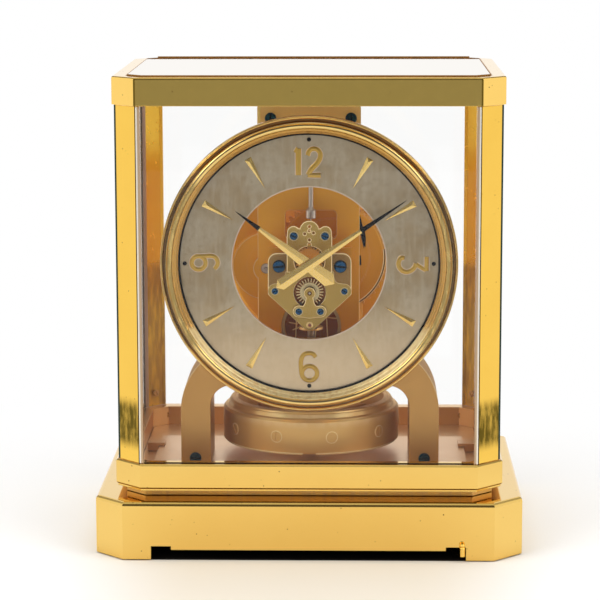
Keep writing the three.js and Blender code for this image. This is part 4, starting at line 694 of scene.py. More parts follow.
# Torsion pendulum: ring, balance plugs, stem and roller
def pendulum():
    profile = [
        (37.3, 54.4), (35.3, 54.4), (35.3, 47.2), (37.3, 45.2), (44.0, 45.2), (45.0, 46.2),
        (45.0, 61.6), (44.3, 62.3), (44.0, 62.8), (42.6, 62.9), (42.2, 63.3), (41.9, 65.2), (41.5, 65.5),
        (41.3, 66.2), (40.8, 66.6), (39.6, 66.6), (39.4, 66.35), (38.9, 66.35), (38.7, 66.6), (37.7, 66.6),
        (37.3, 66.2),
    ]
    mesh = lathe(eased(profile, 0.25), (0, AXIS_Y), True, 256)
    front = AXIS_Y - 45
    mesh = carved(mesh, (-3.25, 3.25, front - 1, front + 2.1, 44.2, 46.2))
    place_mesh("ring_fine", mesh, ring_rose, "pendulum", 14, ("pendulum_ring",), "matt_gilt", pale, True)
    # a bright line along the ring's lower edge: painted highlight
    edge = [(44.05, 45.25), (44.3, 45.15), (45.05, 45.95), (44.9, 46.25)]
    edge = carved(lathe(edge, (0, AXIS_Y), True, 256), (-3.25, 3.25, front - 1, front + 2.1, 44.2, 47.2))
    place_mesh("ring_low_highlight", edge, highlight_brass, "pendulum", 14)
    for i in range(10):
        azimuth = (i + 0.5) * 36 - 3.6
        plug = slotted_head(0, 54.0, -44.85, 2.8, 0.45, 0.8, 0.4, False, 35 + 47 * i)
        # a bright ring round each plug: painted highlight
        highlight_ring = lathe(band(2.65, 3.05, -45.06, -44.6), (0, 54.0), segments=64)
        spin = Matrix.Translation((0, AXIS_Y * MM, 0)) @ Matrix.Rotation(math.radians(azimuth), 4, "Z")
        place_mesh("plug_%d" % i, turned_copy(plug, spin), ring_rose, "pendulum", 20, (), "matt_gilt")
        place_mesh("plug_seat_%d" % i, turned_copy(highlight_ring, spin), highlight_brass, "pendulum", 20)
    stem = [
        (0, 50), (4.6, 50), (4.6, 54.4), (2, 54.4), (2, 57.4), (4.6, 57.4), (4.6, 59), (2, 61), (2, 100.9),
        (1.7, 100.9), (1.7, 102.9), (2, 102.9), (2, 104.6), (1.5, 106.6), (1.5, 112), (0, 112),
    ]
    place_mesh("stem_fine", lathe(stem, (0, AXIS_Y), True, 64), steel, "pendulum", 20, ("pendulum_stem",))
    roller = lathe(eased(band(1.9, 6.2, 101.2, 102.6), 0.2), (0, AXIS_Y), True, 96)
    place_mesh("roller_fine", roller, pale, "pendulum", 14, ("impulse_roller",))
    pin = [(0, 102.4), (0.45, 102.4), (0.45, 106.0), (0.3, 106.2), (0, 106.2)]
    place_mesh("impulse_pin", lathe(pin, (0, AXIS_Y - 5.2), True, 24), steel, "pendulum", 20)


pendulum()


# Front plate and the two cocks
def seated_screw(kind, name, where, face, radius, height, slot, depth, turn, seat):
    """Small blued screw and the bright seat ring round its head."""
    head = slotted_head(*where, face, radius, height, slot, depth, False, turn)
    place_mesh("%s_screw_%s" % (kind, name), head, blued, "case", 20, (), "blued_steel")
    ring = eased(band(*seat), 0.1)
    place_mesh("%s_seat_%s" % (kind, name), lathe(ring, where, segments=64), soft_ring, "case", 14)


def front_plate():
    c = math.sqrt(0.5) * 4.4
    apex = 106.6 + 4.4
    loop = [(20.8, 124.6)] + arc(20.8 - 4.6, 145.4 - 4.6, 4.6, 0, 90, 10)
    loop += [(10.6, 145.4)] + arc(6.0, 152.4, 4.6, 0, 90, 10) + arc(-6.0, 152.4, 4.6, 90, 180, 10)
    loop += [(-10.6, 145.4)] + arc(4.6 - 20.8, 145.4 - 4.6, 4.6, 90, 180, 10)
    loop += [(-20.8, 124.6), (-c, apex - c)] + arc(0, apex, 4.4, 225, 315, 10)
    loop += [(c, apex - c)]
    mesh = flat([loop, circle(0, ESCAPE_Z, 8.0)], -38.0, -35.5, 0.45, 1)
    own = ("front_plate",)
    # the front plate takes the darker plate brass: painted shade
    place_mesh("front_plate_fine", mesh, olive_shaded, "case", 10, own, "brushed_gilt", highlight_brass)
    lobe = 3.7
    shield = arc(17.1, 126.4, lobe, -45, 96, 14)
    shield += [(14.0, 130.5), (12.8, 131.4), (12.2, 133.2), (12.0, 136.2)]
    shield += [(-12.0, 136.2), (-12.2, 133.2), (-12.8, 131.4), (-14.0, 130.5)]
    shield += arc(-17.1, 126.4, lobe, 84, 225, 14)
    shield += arc(0, apex, 4.4, 225, 315, 10)
    mesh = flat([shield, circle(0, ESCAPE_Z, 8.0)], -38.25, -37.9, 0.15, 1)
    place_mesh("front_shield", mesh, olive, "case", 10, (), "brushed_gilt", highlight_brass)
    # a disc behind the escape wheel: painted shade
    ground = band(0, 8.6, -32.6, -32.2)
    place_mesh("escape_shade_disc", lathe(ground, (0, ESCAPE_Z)), port_shade_brown, "case", 14)
    for side, name in SIDES:
        blued_screw("pillar", name, side * 15.25, 138.8, -38.3, 2.9, 1.1, 1.0, 0.6, False, 5 * side)
        # a thin black ring round each pillar screw's head: painted shade
        shade_ring = lathe(eased(band(2.85, 3.2, -38.25, -37.8), 0.1), (side * 15.25, 138.8), segments=64)
        place_mesh("pillar_seat_" + name, shade_ring, black, "case", 14)
        seat = (1.55, 2.0, -38.4, -38.1)
        seated_screw("low", name, (side * 17.3, 126.3), -38.2, 1.6, 0.7, 0.6, 0.35, 30 * side, seat)
    setting = [(0.9, -38.5), (1.7, -38.4), (1.9, -37.9), (0.9, -37.9)]
    place_mesh("pallet_setting", lathe(setting, (0, 109.2), segments=48), pale, "case", 14)
    stone = [(0, -38.45), (0.5, -38.4), (0.9, -38.1), (0.9, -37.9), (0, -37.9)]
    place_mesh("pallet_jewel", lathe(stone, (0, 109.2), segments=48), jewel_red, "case", 40)


front_plate()


def cocks():
    loop = [(-11.2, 136.6), (11.2, 136.6), (11.2, 153.6)]
    loop += arc(7.9, 156.7, 3.1, 0, 140, 14)
    loop += arc(0, 157.6, 4.8, 12, 168, 18)
    loop += arc(-7.9, 156.7, 3.1, 40, 180, 14) + [(-11.2, 153.6)]
    holes = [circle(0, HAND_Z, 7.5), circle(0, 150.6, 0.8, 24)]
    spots = ((-2.3, 155.9), (2.0, 156.4), (0, 159.5), (-0.1, 157.4), (0, 152.9))
    holes += [circle(x, z, 0.7, 20) for x, z in spots]
    mesh = flat([loop, *holes], -43.8, -42.3, 0.4, 1)
    place_mesh("motion_cock_fine", mesh, olive, "case", 10, ("motion_cock",), "brushed_gilt", highlight_brass)
    for side, name in SIDES:
        seat = (1.9, 2.4, -43.95, -43.7)
        seated_screw("cock", name, (side * 7.7, 154.8), -43.8, 1.9, 0.8, 0.65, 0.4, 20, seat)
        post = band(0, 1.7, -42.6, -38.2)
        for kind, x, z in (("high", 7.7, 154.8), ("low", 9.6, 138.6)):
            where = (side * x, z)
            place_mesh("cock_post_%s_%s" % (kind, name), lathe(post, where, segments=48), olive, "case", 20)
    bone = arc(0, ESCAPE_Z, 2.9, -52, 232, 28) + arc(-5.6, 121.8, 3.4, 0, -50, 8)
    bone += arc(-5.4, 116.4, 3.0, 80, 285, 18) + [(0, 112.9)] + arc(5.4, 116.4, 3.0, 255, 460, 18)
    bone += arc(5.6, 121.8, 3.4, 230, 180, 8)
    mesh = flat([bone, circle(0, ESCAPE_Z, 0.7, 24)], -40.3, -38.3, 0.35, 1)
    place_mesh("escape_cock_fine", mesh, olive, "case", 10, ("escape_cock",), "brushed_gilt", highlight_brass)
    pivot = band(0.7, 1.1, -40.4, -40.1)
    place_mesh("escape_pivot", lathe(pivot, (0, ESCAPE_Z), segments=64), shade, "case", 14)
    for side, name in SIDES:
        seat = (1.6, 2.1, -40.45, -40.1)
        seated_screw("bone", name, (side * 5.4, 116.4), -40.3, 1.6, 0.7, 0.6, 0.35, -25 * side, seat)


cocks()


def toothed(x, z, tip, root, teeth, tip_share, root_share, phase=0.0):
    """Outline of a toothed disc; the shares say how much of a tooth's pitch its tip and its foot take."""
    step = 2 * math.pi / teeth
    corners = ((root, -root_share / 2), (tip, -tip_share / 2), (tip, tip_share / 2), (root, root_share / 2))
    points = []
    for i in range(teeth):
        middle = phase + i * step
        for r, turn in corners:
            a = middle + step * turn
            points.append((x + r * math.cos(a), z + r * math.sin(a)))
    return points


def escape_wheel():
    """Pale wheel with long thin radial teeth on a plain web, its hub ring and its pinion behind."""
    # the teeth are in the painted highlight brass
    ring = flat([toothed(0, ESCAPE_Z, 6.9, 4.6, 26, 0.28, 0.4)], -36.4, -35.6, 0.08)
    place_mesh("escape_teeth", ring, highlight_brass, "escape", 10, (), "brushed_gilt")
    disc = [(0.5, -36.7), (4.8, -36.7), (5.0, -36.5), (5.0, -35.6), (0.5, -35.6)]
    mesh = lathe(disc, (0, ESCAPE_Z), segments=96)
    place_mesh("escape_wheel_fine", mesh, soft_ring, "escape", 20, ("escape_wheel",), "brushed_gilt")
    hub = [(0.5, -37.0), (2.6, -37.0), (2.6, -36.7), (3.0, -36.7), (3.0, -36.5), (0.5, -36.5)]
    place_mesh("escape_hub", lathe(hub, (0, ESCAPE_Z), segments=64), shade, "escape", 14)
    leaf = toothed(0, ESCAPE_Z, 5.1, 4.0, 12, 0.2, 0.7, math.radians(105))
    place_mesh("escape_pinion", flat([leaf], -30.5, -28.8, 0.06), steel, "escape", 10)
    pivot = band(0, 0.5, -40.3, -17.8)
    place_mesh("escape_arbor", lathe(pivot, (0, ESCAPE_Z), segments=32), steel, "escape", 20)


escape_wheel()


def hour_wheel():
    """Hour wheel with its pipe; its teeth show in the window of the upper cock."""
    disc = toothed(0, HAND_Z, 7.02, 6.12, 28, 0.2, 0.72, math.radians(90) + math.pi / 28)
    mesh = flat([disc, circle(0, HAND_Z, 1.6, 48)], -41.7, -40.6, 0.06)
    place_mesh("hour_wheel_fine", mesh, wheel_brass, "hour", 10, ("hour_wheel",), "brushed_gilt", pale)
    pipe = band(1.55, 2.0, -56.35, -41.0)
    place_mesh("hour_pipe", lathe(pipe, (0, HAND_Z), segments=64), wheel_brass, "hour", 20)


hour_wheel()


# Mainspring barrel: toothed disc, stepped face and drum
def barrel():
    x, z = BARREL
    pitch = GEAR_SIZE * BARREL_TEETH / 2
    tip, root = pitch + GEAR_SIZE * 0.62, pitch - GEAR_SIZE * 1.25
    start_angle = math.atan2(SECOND[1] - z, SECOND[0] - x)
    step = 2 * math.pi / BARREL_TEETH
    teeth = []
    for i in range(BARREL_TEETH):
        middle = start_angle + i * step
        for r, turn in ((tip, -0.1), (tip, 0.1), (root, 0.36), (root, 0.64)):
            a = middle + step * turn
            teeth.append((x + r * math.cos(a), z + r * math.sin(a)))
    mesh = flat([teeth], 13.9, 15.9, 0.12)
    place_mesh("barrel_teeth", mesh, wheel_brass, "barrel", 10, ("barrel",), "brushed_gilt")
    face = [(0, 13.6), (26.8, 13.6), (27.0, 13.8), (27.0, 14.2), (0, 14.2)]
    place_mesh("barrel_face", lathe(face, BARREL), drum, "barrel", 14)
    # two pale beads with a dark one between: the near bead in the painted highlight brass, the dark one
    # painted shade
    beads = (("near", 27.0, 27.6, highlight_brass), ("dark", 27.6, 28.1, shade), ("far", 28.1, 28.6, pale))
    for label, low, high, tone in beads:
        lift = 13.75 if tone is shade else 13.45
        bead = lathe(eased(band(low, high, lift, 14.1), 0.15), BARREL)
        mesh = carved(bead, (-30, 22, 10, 18, 90, 180), (20, 50, 10, 18, 140, 180))
        place_mesh("barrel_bead_" + label, mesh, tone, "barrel", 20)
    inner = flat([toothed(x, z, 20.6, 19.6, 76, 0.3, 0.75)], 13.0, 13.7, 0.08)
    place_mesh("barrel_inner_wheel", inner, drum, "barrel", 10, (), "brushed_gilt", pale)
    # black sheets behind the bridge plate's right edge, where there is only shade: painted shade
    gap = [(24.6, 158.4), (25.6, 155.7), (26.3, 152.4), (27.5, 149.6), (28.1, 146.0), (27.9, 141.0)]
    gap += [(27.3, 141.9), (27.1, 140.4), (26.6, 142.6), (26.1, 144.4), (25.5, 147.2), (24.6, 149.0)]
    place_mesh("barrel_gap_shade", flat([gap], 12.6, 12.8, 0.03), black, "case", 10)
    slit = [(24.6, 136.9), (25.5, 136.9), (25.8, 131.9), (24.6, 131.6)]
    place_mesh("bridge_slit_shade", flat([slit], 12.6, 12.8, 0.03), black, "case", 10)
    shell = [(27.8, 15.3), (27.8, 23.4), (26.2, 23.4), (26.2, 15.3)]
    place_mesh("barrel_drum", lathe(eased(shell, 0.3), BARREL), amber, "barrel", 14)


barrel()


def second_wheel():
    """Smooth gilt disc with two fine ring lines, on its arbor; it shows left of the bridge plate."""
    x, z = SECOND
    disc = flat([toothed(x, z, 18.1, 17.5, 90, 0.3, 0.75)], 9.6, 11.0, 0.08)
    place_mesh("second_wheel_fine", disc, drum, "second", 10, ("second_wheel",), "brushed_gilt")
    for label, r, wide, tone in (("rim", 17.1, 0.3, pale), ("web", 10.2, 0.22, wheel_brass)):
        line = band(r, r + wide, 9.5, 9.75)
        place_mesh("second_line_" + label, lathe(eased(line, 0.05), SECOND), tone, "second", 20)
    arbor = band(0, 1.0, 1.75, 27.6)
    place_mesh("second_arbor", lathe(arbor, SECOND, segments=32), steel, "second", 20)
    between = math.atan2(BARREL[1] - z, BARREL[0] - x) + math.pi / SECOND_LEAVES
    tip, root = GEAR_SIZE * SECOND_LEAVES / 2 + GEAR_SIZE * 0.3, GEAR_SIZE * 2.15
    pinion = toothed(x, z, tip, root, SECOND_LEAVES, 0.14, 0.46, between)
    place_mesh("second_pinion", flat([pinion], 13.6, 16.4, 0.08), steel, "second", 10)


second_wheel()


# Bellows housing, bellows and cap
def bellows():
    housing = [
        (22.4, 28.2), (24.0, 28.2), (24.0, 34.0), (41.6, 34.0), (42.6, 34.2), (43.5, 34.8), (44.1, 35.7),
        (44.4, 37.0), (44.4, 60.0), (44.1, 61.3), (43.5, 62.2), (42.6, 62.8), (41.4, 63.0), (0, 63.0),
        (0, 61.4), (42.8, 61.4), (42.8, 38.6), (13.5, 35.6), (13.5, 34.0), (22.4, 34.0),
    ]
    mesh = lathe(housing, (0, HOUSING_DRAWN_Z))
    place_mesh("housing_fine", mesh, drum, "case", 20, ("bellows_housing",), "brushed_gilt")
    first, fold, steps = 40.6, 6.83, 12
    folds = [(0, first)]
    for i in range(3):
        y = first + i * fold
        for k in range(steps):
            folds.append((34 - 3 * math.cos(2 * math.pi * k / steps), y + fold * k / steps))
    folds += [(31, 61.1), (0, 61.1)]
    mesh = lathe(folds, (0, HOUSING_Z))
    place_mesh("bellows_fine", mesh, wheel_brass, "case", 25, ("bellows",))
    cap = [(0, 32.4), (11, 32.4), (11, 38.3), (17, 38.3), (17, 40.3), (0, 40.3)]
    mesh = lathe(eased(cap, 0.3), (0, HOUSING_Z))
    place_mesh("bellows_cap_fine", mesh, steel, "bellows_cap", 14, ("bellows_cap",))


bellows()


# Dial: ring, faceted darts, plain numerals, small screws, pillars
def stroke(points, radii, closed=False):
    """Rounded stroke of a numeral and the low pale margin under it, a painted highlight round its edges."""
    bold = [r * 1.18 for r in radii]
    return shaped(points, bold, closed, 0.45), shaped(points, [r + 0.35 for r in bold], closed, 0.1)


def shaped(points, radii, closed, flatness):
    curve = bpy.data.curves.new("stroke", "CURVE")
    curve.dimensions = "3D"
    curve.fill_mode = "FULL"
    curve.bevel_depth = 1.0
    curve.bevel_resolution = 3
    curve.use_fill_caps = not closed
    curve.resolution_u = 10
    spline = curve.splines.new("BEZIER")
    spline.bezier_points.add(len(points) - 1)
    for bezier, (x, z), r in zip(spline.bezier_points, points, radii):
        bezier.co = (x, 0, z)
        bezier.handle_left_type = "AUTO"
        bezier.handle_right_type = "AUTO"
        bezier.radius = r
    spline.use_cyclic_u = closed
    squash = Matrix.Translation((0, DIAL_FRONT, 0)) @ Matrix.Diagonal((1, flatness, 1, 1))
    return from_curve(curve, squash)


def straight(a, b, ra, rb):
    middle = tuple((p + q) / 2 for p, q in zip(a, b))
    return stroke([a, middle, b], [ra, (ra + rb) / 2, rb])


def oval(x, z, wide, high):
    """Eight points round the loop of a numeral."""
    return [(x + wide * math.cos(i * math.pi / 4), z + high * math.sin(i * math.pi / 4)) for i in range(8)]


def numerals():
    made = {
        "one": straight((-5.2, 199.0), (-5.2, 185.9), 1.25, 1.15),
        "one_flag": stroke([(-5.4, 199.2), (-6.3, 197.9), (-7.2, 197.3)], [0.9, 0.8, 0.5]),
        "two_bow": stroke(
            [
                (-0.7, 195.6), (0.2, 197.8), (2.5, 198.9), (4.9, 197.6), (5.5, 195.0), (4.0, 191.9),
                (1.0, 188.6), (-0.5, 186.0),
            ],
            [0.95, 1.0, 1.0, 1.0, 1.05, 1.1, 1.1, 1.0],
        ),
        "two_foot": straight((-0.6, 185.9), (5.7, 185.9), 1.0, 1.15),
        "three_bar": straight((57.7, 145.7), (57.7, 138.7), 0.95, 0.95),
        "three_slope": straight((57.3, 138.9), (52.6, 141.9), 0.8, 0.9),
        "three_bow": stroke(
            [
                (52.4, 142.4), (51.6, 140.2), (49.8, 138.7), (47.5, 138.2), (45.3, 139.2), (44.0, 141.4),
                (44.2, 143.7), (45.4, 145.2), (46.8, 145.0),
            ],
            [0.9, 0.95, 0.95, 1.0, 1.0, 1.0, 1.0, 1.0, 0.9],
        ),
        "nine_loop": stroke(oval(-54.4, 142.5, 3.4, 3.3), [0.95] * 8, True),
        "nine_tail": stroke(
            [
                (-53.6, 145.8), (-51.0, 145.9), (-48.2, 146.0), (-46.2, 145.3), (-45.0, 143.0),
                (-45.4, 141.0), (-46.6, 139.5),
            ],
            [0.9, 0.9, 0.95, 0.95, 0.95, 0.9, 0.8],
        ),
        "six_loop": stroke(oval(0.1, 87.3, 3.75, 3.6), [1.0] * 8, True),
        "six_stem": stroke(
            [(-3.8, 87.0), (-4.1, 90.6), (-4.0, 94.0), (-2.6, 96.7), (-0.2, 97.4), (2.0, 96.9), (3.2, 95.4)],
            [1.0, 1.0, 1.0, 1.0, 1.0, 1.0, 0.9],
        ),
    }
    for name, (mesh, below) in made.items():
        place_mesh("numeral_" + name, mesh, numeral_gilt, "case", 40, (), "polished_gilt")
        place_mesh("numeral_edge_" + name, below, halo, "case", 40)


def dial():
    back = DIAL_FRONT + 1.2
    ring = band(37.8, 65.8, DIAL_FRONT, back)
    mesh = lathe(eased(ring, 0.2), (0, HAND_Z), segments=256)
    place_mesh("dial_fine", mesh, silvered, "case", 14, ("dial",), "silvered_dial")
    lip = band(37.8, 38.4, -51.15, -50.6)
    place_mesh("dial_lip", lathe(eased(lip, 0.12), (0, HAND_Z), segments=256), halo, "case", 14)
    for hour in range(12):
        turn = math.radians(hour * 30)
        if hour % 3 == 0:
            x, z = 61.2 * math.sin(turn), HAND_Z + 61.2 * math.cos(turn)
            mesh = slotted_head(x, z, DIAL_FRONT, 1.05, 0.35, 0.35, 0.25, False, 40 + hour * 25)
            place_mesh("dial_screw_%d" % hour, mesh, black, "case", 20)
            seat = band(1.05, 1.5, -51.12, -50.8)
            place_mesh("dial_screw_seat_%d" % hour, lathe(seat, (x, z), segments=48), silvered, "case", 20)
            continue
        place_mesh("dart_%d" % hour, dart(turn), dart_gilt, "case", 5, (), "polished_gilt")
    for side, name in SIDES:
        post = band(0, 2, -50.4, 1.7)
        place_mesh("dial_pillar_high_" + name, lathe(post, (side * 20, 188), segments=48), steel, "case", 20)
        post = band(0, 2, -50.4, -41.3)
        place_mesh("dial_pillar_low_" + name, lathe(post, (side * 20, 95), segments=48), steel, "case", 20)


def on_dial(across, along, y, turn):
    """Point of a mark or a hand, turned clockwise from twelve."""
    x = across * math.cos(turn) + along * math.sin(turn)
    return (x, y, HAND_Z - across * math.sin(turn) + along * math.cos(turn))


def dart(turn):
    """Faceted hour mark: broad outside, pointed inside, with a narrow flat along its edge."""
    outer, inner, w = 59.8, 42.6, 1.8
    rows = [
        [(-w, outer), (w, outer), (0, inner)],
        [(-w, outer), (w, outer), (0, inner)],
        [(0, outer - w), (0, outer - w), (0, inner + 1.2)],
    ]
    heights = [DIAL_FRONT + 0.4, DIAL_FRONT - 0.15, DIAL_FRONT - 0.8]
    bm = bmesh.new()
    made = []
    for row, y in zip(rows, heights):
        made.append([bm.verts.new(on_dial(across, along, y, turn)) for across, along in row])
    base, rim, crest = made
    bm.faces.new(base)
    for i in range(3):
        j = (i + 1) % 3
        bm.faces.new([base[i], base[j], rim[j], rim[i]])
        bm.faces.new([rim[i], rim[j], crest[j], crest[i]])
    bmesh.ops.remove_doubles(bm, verts=bm.verts, dist=1e-4)
    bmesh.ops.dissolve_degenerate(bm, edges=bm.edges, dist=1e-4)
    return finished(bm)


dial()
numerals()


# Bezel with its rim, groove, round band, fine band and inner slope
def bezel():
    """From outside: rounded edge, flat band, fine groove, broad rounded band, inner slope with fine lines."""

    def swell(r, y, wide, high, angles):
        turns = [math.radians(k) for k in angles]
        return [(r + wide * math.cos(t), y - high * math.sin(t)) for t in turns]

    points = [(66.1, -50.2), (73.1, -50.2), (73.1, -54.9)]
    points += swell(72.35, -54.9, 0.75, 0.95, range(9, 150, 9))
    points += [(71.55, -54.6), (71.45, -53.4), (71.1, -53.4), (70.85, -54.6), (70.45, -56.6)]
    points += swell(68.55, -57.2, 1.75, 1.6, range(12, 136, 6))
    points += [(67.2, -57.9), (66.8, -57.2), (66.8, -51.3), (66.1, -51.3)]
    mesh = lathe(points, (0, HAND_Z), segments=256)
    place_mesh("bezel_fine", mesh, bezel_gilt, "case", 22, ("bezel",), "polished_gilt")
    slope = [(67.2, -57.5), (66.9, -57.7), (66.6, -57.5), (66.5, -56.7), (66.25, -56.6), (66.05, -55.9)]
    slope += [(65.8, -55.8), (65.7, -55.2), (65.35, -54.9), (65.0, -54.2), (64.8, -54.1), (64.6, -53.4)]
    slope += [(64.4, -53.2), (64.2, -51.5), (67.2, -51.5)]
    mesh = lathe(slope, (0, HAND_Z), segments=256)
    place_mesh("bezel_slope", mesh, bezel_slope, "case", 22, (), "polished_gilt")
    # a dark ring in the groove: painted shade
    groove = band(70.95, 71.6, -53.9, -53.2)
    place_mesh("bezel_groove_shade", lathe(groove, (0, HAND_Z), segments=256), olive_shaded, "case", 14)
    line = [(63.5, -51.4), (63.5, -51.9), (64.25, -53.0), (64.45, -53.0), (64.45, -51.4)]
    place_mesh("bezel_shadow_line", lathe(line, (0, HAND_Z), segments=256), black, "case", 14)


bezel()


# Hands: roof-shaped blades with dark outer ends
def hand(name, length, width, tail, tail_point, clockwise, plane, dark_from, body, crest):
    turn = math.radians(clockwise)
    w = width / 2

    def half_at(along):
        return w * (length - along) / (length + tail)

    def blade(rows, label, material, replaces):
        bm = bmesh.new()
        rings = []
        for half, along, ridge in rows:
            half = max(half, 0.05)
            back = plane + 0.5
            spots = [(-half, back), (-half, plane), (0, plane - ridge), (half, plane), (half, back)]
            rings.append([bm.verts.new(on_dial(across, along, y, turn)) for across, y in spots])
        for a, b in zip(rings, rings[1:]):
            for i in range(5):
                bm.faces.new([a[i], a[(i + 1) % 5], b[(i + 1) % 5], b[i]])
        bm.faces.new(rings[0])
        bm.faces.new(rings[-1])
        mesh = finished(bm)
        place_mesh(label, mesh, material, body, 5, replaces, "polished_gilt" if replaces else None)

    gold = [(0.0, -tail_point, 0.02), (w, -tail, crest), (half_at(dark_from), dark_from, crest)]
    blade(gold, name + "_fine", hand_gilt, (name,))
    broad = half_at(dark_from) + 0.22
    share = (length - dark_from - 2) / (length - dark_from)
    dark = [(broad, dark_from, crest - 0.01), (broad * (1 - share) + 0.1, length - 2, crest * 0.7)]
    dark.append((0.0, length, 0.05))
    blade(dark, name + "_end", black, ())


hand_gilt = metal(
    "gilt_hand", (0.86, 0.60, 0.20), (0.78, 0.51, 0.14), 0.22, 0.06, scratched=False, metallic=0.85,
)
hand("minute_hand", 57.6, 5.8, 16.6, 19.2, 55.9, -58.9, 30.7, "minute", 0.3)
hand("hour_hand", 44.6, 7.4, 12.2, 15.5, 306.5, -56.6, 30.2, "hour", 0.16)


# Seal round the top glass
def lid_seal():
    def corners(inset):
        x, y, c = 190.4 / 2 - inset, 145.4 / 2 - inset, 11.7 - inset * (2 - math.sqrt(2))
        right = [(x - c, -y), (x, c - y), (x, y - c), (x - c, y)]
        return right + [(c - x, y), (-x, y - c), (-x, c - y), (c - x, -y)]

    bm = bmesh.new()
    rows = []
    for inset, z in ((7.1, 234.9), (7.1, 235.3), (7.75, 235.65), (7.75, 234.9)):
        rows.append([bm.verts.new((x, y, z)) for x, y in corners(inset)])
    for k in range(4):
        a, b = rows[k], rows[(k + 1) % 4]
        for i in range(8):
            j = (i + 1) % 8
            bm.faces.new([a[i], a[j], b[j], b[i]])
    place_mesh("lid_seal", finished(bm), cork, "case", 10)
    bar = band(-83.2, 83.2, 235.0, 235.68)
    place_mesh("lid_rear_seal", flat([bar], 69.8, 72.4, 0.1), cork, "case", 10)


lid_seal()


# Small screws of the case
def case_screws():
    for side, name in SIDES:
        head = slotted_head(side * 80.0, 41.3, 64.4, 1.6, 0.7, 0.45, 0.35, False, 25 * side)
        place_mesh("rail_screw_" + name, head, rose, "case", 20)
        head = slotted_head(0, 53.5, 0, 1.7, 0.8, 0.45, 0.35, False, 60)
        swing = Matrix.Rotation(math.radians(-45 * side), 4, "Z")
        spot = Matrix.Translation((side * 85.9 * MM, 63.6 * MM, 0))
        place_mesh("post_screw_" + name, turned_copy(head, spot @ swing), rose, "case", 20)


case_screws()


# Floor, cards and light
def laid_out(name, bm, material):
    """Sheet of the studio, drawn in metres."""
    mesh = bpy.data.meshes.new(name)
    bm.to_mesh(mesh)
    bm.free()
    mesh.materials.append(material)
    sheet = bpy.data.objects.new(name, mesh)
    collection.objects.link(sheet)
    return sheet


def floor():
    material, tree = start("studio_floor")
    place = node(tree, "ShaderNodeTexCoord").outputs["Object"]
    far = node(tree, "ShaderNodeVectorMath", {0: place}, operation="LENGTH").outputs["Value"]
    paper = spread(tree, noise(tree, place, 900.0, 2.0), 0.3, 0.7)
    colour = blended(tree, paper, solid(0.93, 0.93, 0.925), solid(0.95, 0.95, 0.945))
    spot = node(tree, "ShaderNodeSeparateXYZ", {0: place}).outputs
    aside = number(tree, "ABSOLUTE", spot["X"])
    along = number(tree, "ABSOLUTE", spot["Y"])
    # painted warm light on the floor in front of the clock, where its gilt throws light
    beside = spread(tree, aside, 0.13, 0.05)
    ahead = spread(tree, spot["Y"], -0.42, -0.2)
    ahead = number(tree, "MULTIPLY", ahead, spread(tree, spot["Y"], 0.0, -0.05))
    warm = number(tree, "MULTIPLY", beside, ahead)
    colour = blended(tree, warm, colour, solid(0.84, 0.77, 0.655))
    # painted shadow, near black, on the floor under the plinth
    patch_x, patch_y, patch_corner = 0.1035, 0.081, 0.1695
    shadow_under = number(tree, "LESS_THAN", aside, patch_x)
    shadow_under = number(tree, "MULTIPLY", shadow_under, number(tree, "LESS_THAN", along, patch_y))
    reach = number(tree, "ADD", aside, along)
    shadow_under = number(tree, "MULTIPLY", shadow_under, number(tree, "LESS_THAN", reach, patch_corner))
    colour = blended(tree, shadow_under, colour, solid(0.02, 0.018, 0.016))
    matte = node(tree, "ShaderNodeBsdfDiffuse", {"Color": colour})
    glow = node(tree, "ShaderNodeEmission", {"Color": solid(1, 1, 1), "Strength": 1.0})
    white = spread(tree, far, 0.14, 0.34)
    mix = node(tree, "ShaderNodeMixShader", {0: white, 1: matte.outputs[0], 2: glow.outputs[0]})
    shown(tree, mix)
    bm = bmesh.new()
    bmesh.ops.create_grid(bm, x_segments=8, y_segments=8, size=8.0)
    ground = laid_out("studio_floor", bm, material)


def card(name, level, corners):
    """Plain card of the studio that only shows in polished metal."""
    material, tree = start(name)
    glow = node(tree, "ShaderNodeEmission", {"Color": solid(*level), "Strength": 1.0})
    shown(tree, glow)
    bm = bmesh.new()
    bm.faces.new([bm.verts.new(corner) for corner in corners])
    flag = laid_out(name, bm, material)
    flag.visible_camera = False
    flag.visible_diffuse = False
    flag.visible_shadow = False
    flag.visible_transmission = False


def lamp(name, place, target, size, watts, colour=(1, 1, 1), glossy=True):
    light = bpy.data.lights.new(name, "AREA")
    light.shape = "RECTANGLE"
    light.size, light.size_y = size
    light.energy = watts
    light.color = colour
    holder = bpy.data.objects.new(name, light)
    holder.location = place
    holder.rotation_euler = (Vector(target) - Vector(place)).to_track_quat("-Z", "Y").to_euler()
    holder.visible_glossy = glossy
    collection.objects.link(holder)


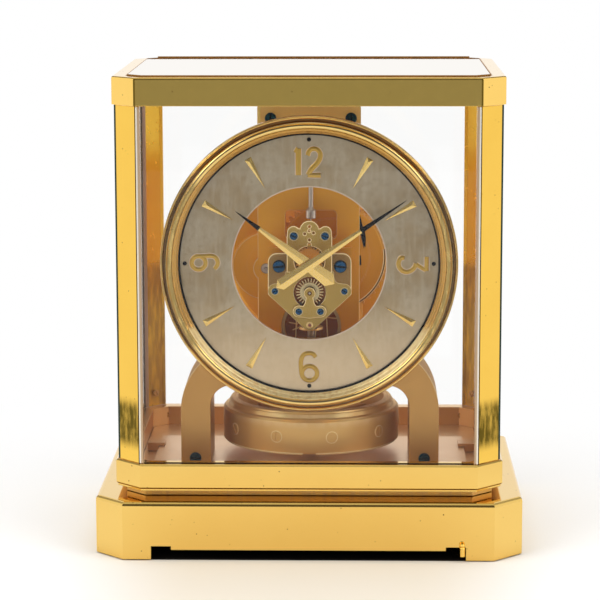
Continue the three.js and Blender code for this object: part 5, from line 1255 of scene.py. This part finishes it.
def world():
    sky = bpy.data.worlds.new("studio")
    bpy.context.scene.world = sky
    sky.use_nodes = True
    tree = sky.node_tree
    tree.nodes.clear()
    rays = node(tree, "ShaderNodeLightPath").outputs
    seen = number(tree, "MAXIMUM", rays["Is Camera Ray"], rays["Is Transmission Ray"])
    place = node(tree, "ShaderNodeTexCoord").outputs["Generated"]
    way = node(tree, "ShaderNodeSeparateXYZ", {0: place}).outputs
    side = number(tree, "ABSOLUTE", way["X"])
    angle = number(tree, "ARCTAN2", side, number(tree, "MULTIPLY", way["Y"], -1.0))
    into = spread(tree, angle, math.radians(112), math.radians(122))
    out_of = spread(tree, angle, math.radians(160), math.radians(150))
    strip = number(tree, "MULTIPLY", into, out_of)
    height = spread(tree, way["Z"], 0.35, 0.95)
    open_tone = blended(tree, height, solid(1, 1, 1), solid(0.66, 0.67, 0.66))
    mirror_tone = blended(tree, strip, open_tone, solid(0.10, 0.09, 0.08))
    colour = blended(tree, rays["Is Glossy Ray"], solid(0.58, 0.58, 0.58), mirror_tone)
    colour = blended(tree, seen, colour, solid(1, 1, 1))
    background = node(tree, "ShaderNodeBackground", {"Color": colour, "Strength": 1.0})
    out = node(tree, "ShaderNodeOutputWorld")
    tree.links.new(background.outputs[0], out.inputs["Surface"])


floor()
low_level, high_level = (0.29, 0.315, 0.34), (0.11, 0.105, 0.10)
card("card_low", low_level, [(-1.3, -1.75, 0.0), (1.3, -1.75, 0.0), (1.3, -1.75, 0.32), (-1.3, -1.75, 0.32)])
card("card_high", high_level, [(-1.3, -1.76, 0.3), (1.3, -1.76, 0.3), (1.3, -1.3, 2.1), (-1.3, -1.3, 2.1)])
lamp("key_left", (-1.1, -0.9, 1.2), (0, 0, 0.1), (0.9, 0.9), 9.0)
lamp("key_right", (1.1, -0.8, 1.1), (0, 0, 0.1), (0.9, 0.9), 7.5)
lamp("top", (0, 0.1, 1.5), (0, 0, 0), (1.2, 1.2), 9.0, glossy=False)
world()


# Camera
def camera():
    """The photograph's view, solved from the corners of the case."""
    yaw, pitch, roll = 0.0237, -0.1654, -0.0019
    focal_length, standpoint = 146.647, (23.63, -1238.56, 322.35)
    forward = Vector((-math.sin(yaw) * math.cos(pitch), math.cos(yaw) * math.cos(pitch), math.sin(pitch)))
    level = Vector((math.cos(yaw), math.sin(yaw), 0))
    above = Vector((math.sin(pitch) * math.sin(yaw), -math.sin(pitch) * math.cos(yaw), math.cos(pitch)))
    right = math.cos(roll) * level + math.sin(roll) * above
    up = -math.sin(roll) * level + math.cos(roll) * above
    lens = bpy.data.cameras.new("camera")
    lens.sensor_fit = "HORIZONTAL"
    lens.sensor_width = 36.0
    lens.lens = focal_length
    lens.clip_start = 0.05
    lens.clip_end = 30.0
    holder = bpy.data.objects.new("camera", lens)
    place = Matrix((right, up, -forward)).transposed().to_4x4()
    place.translation = Vector(standpoint) * MM
    holder.matrix_world = place
    collection.objects.link(holder)
    bpy.context.scene.camera = holder


camera()
bpy.context.scene.view_settings.view_transform = "Standard"
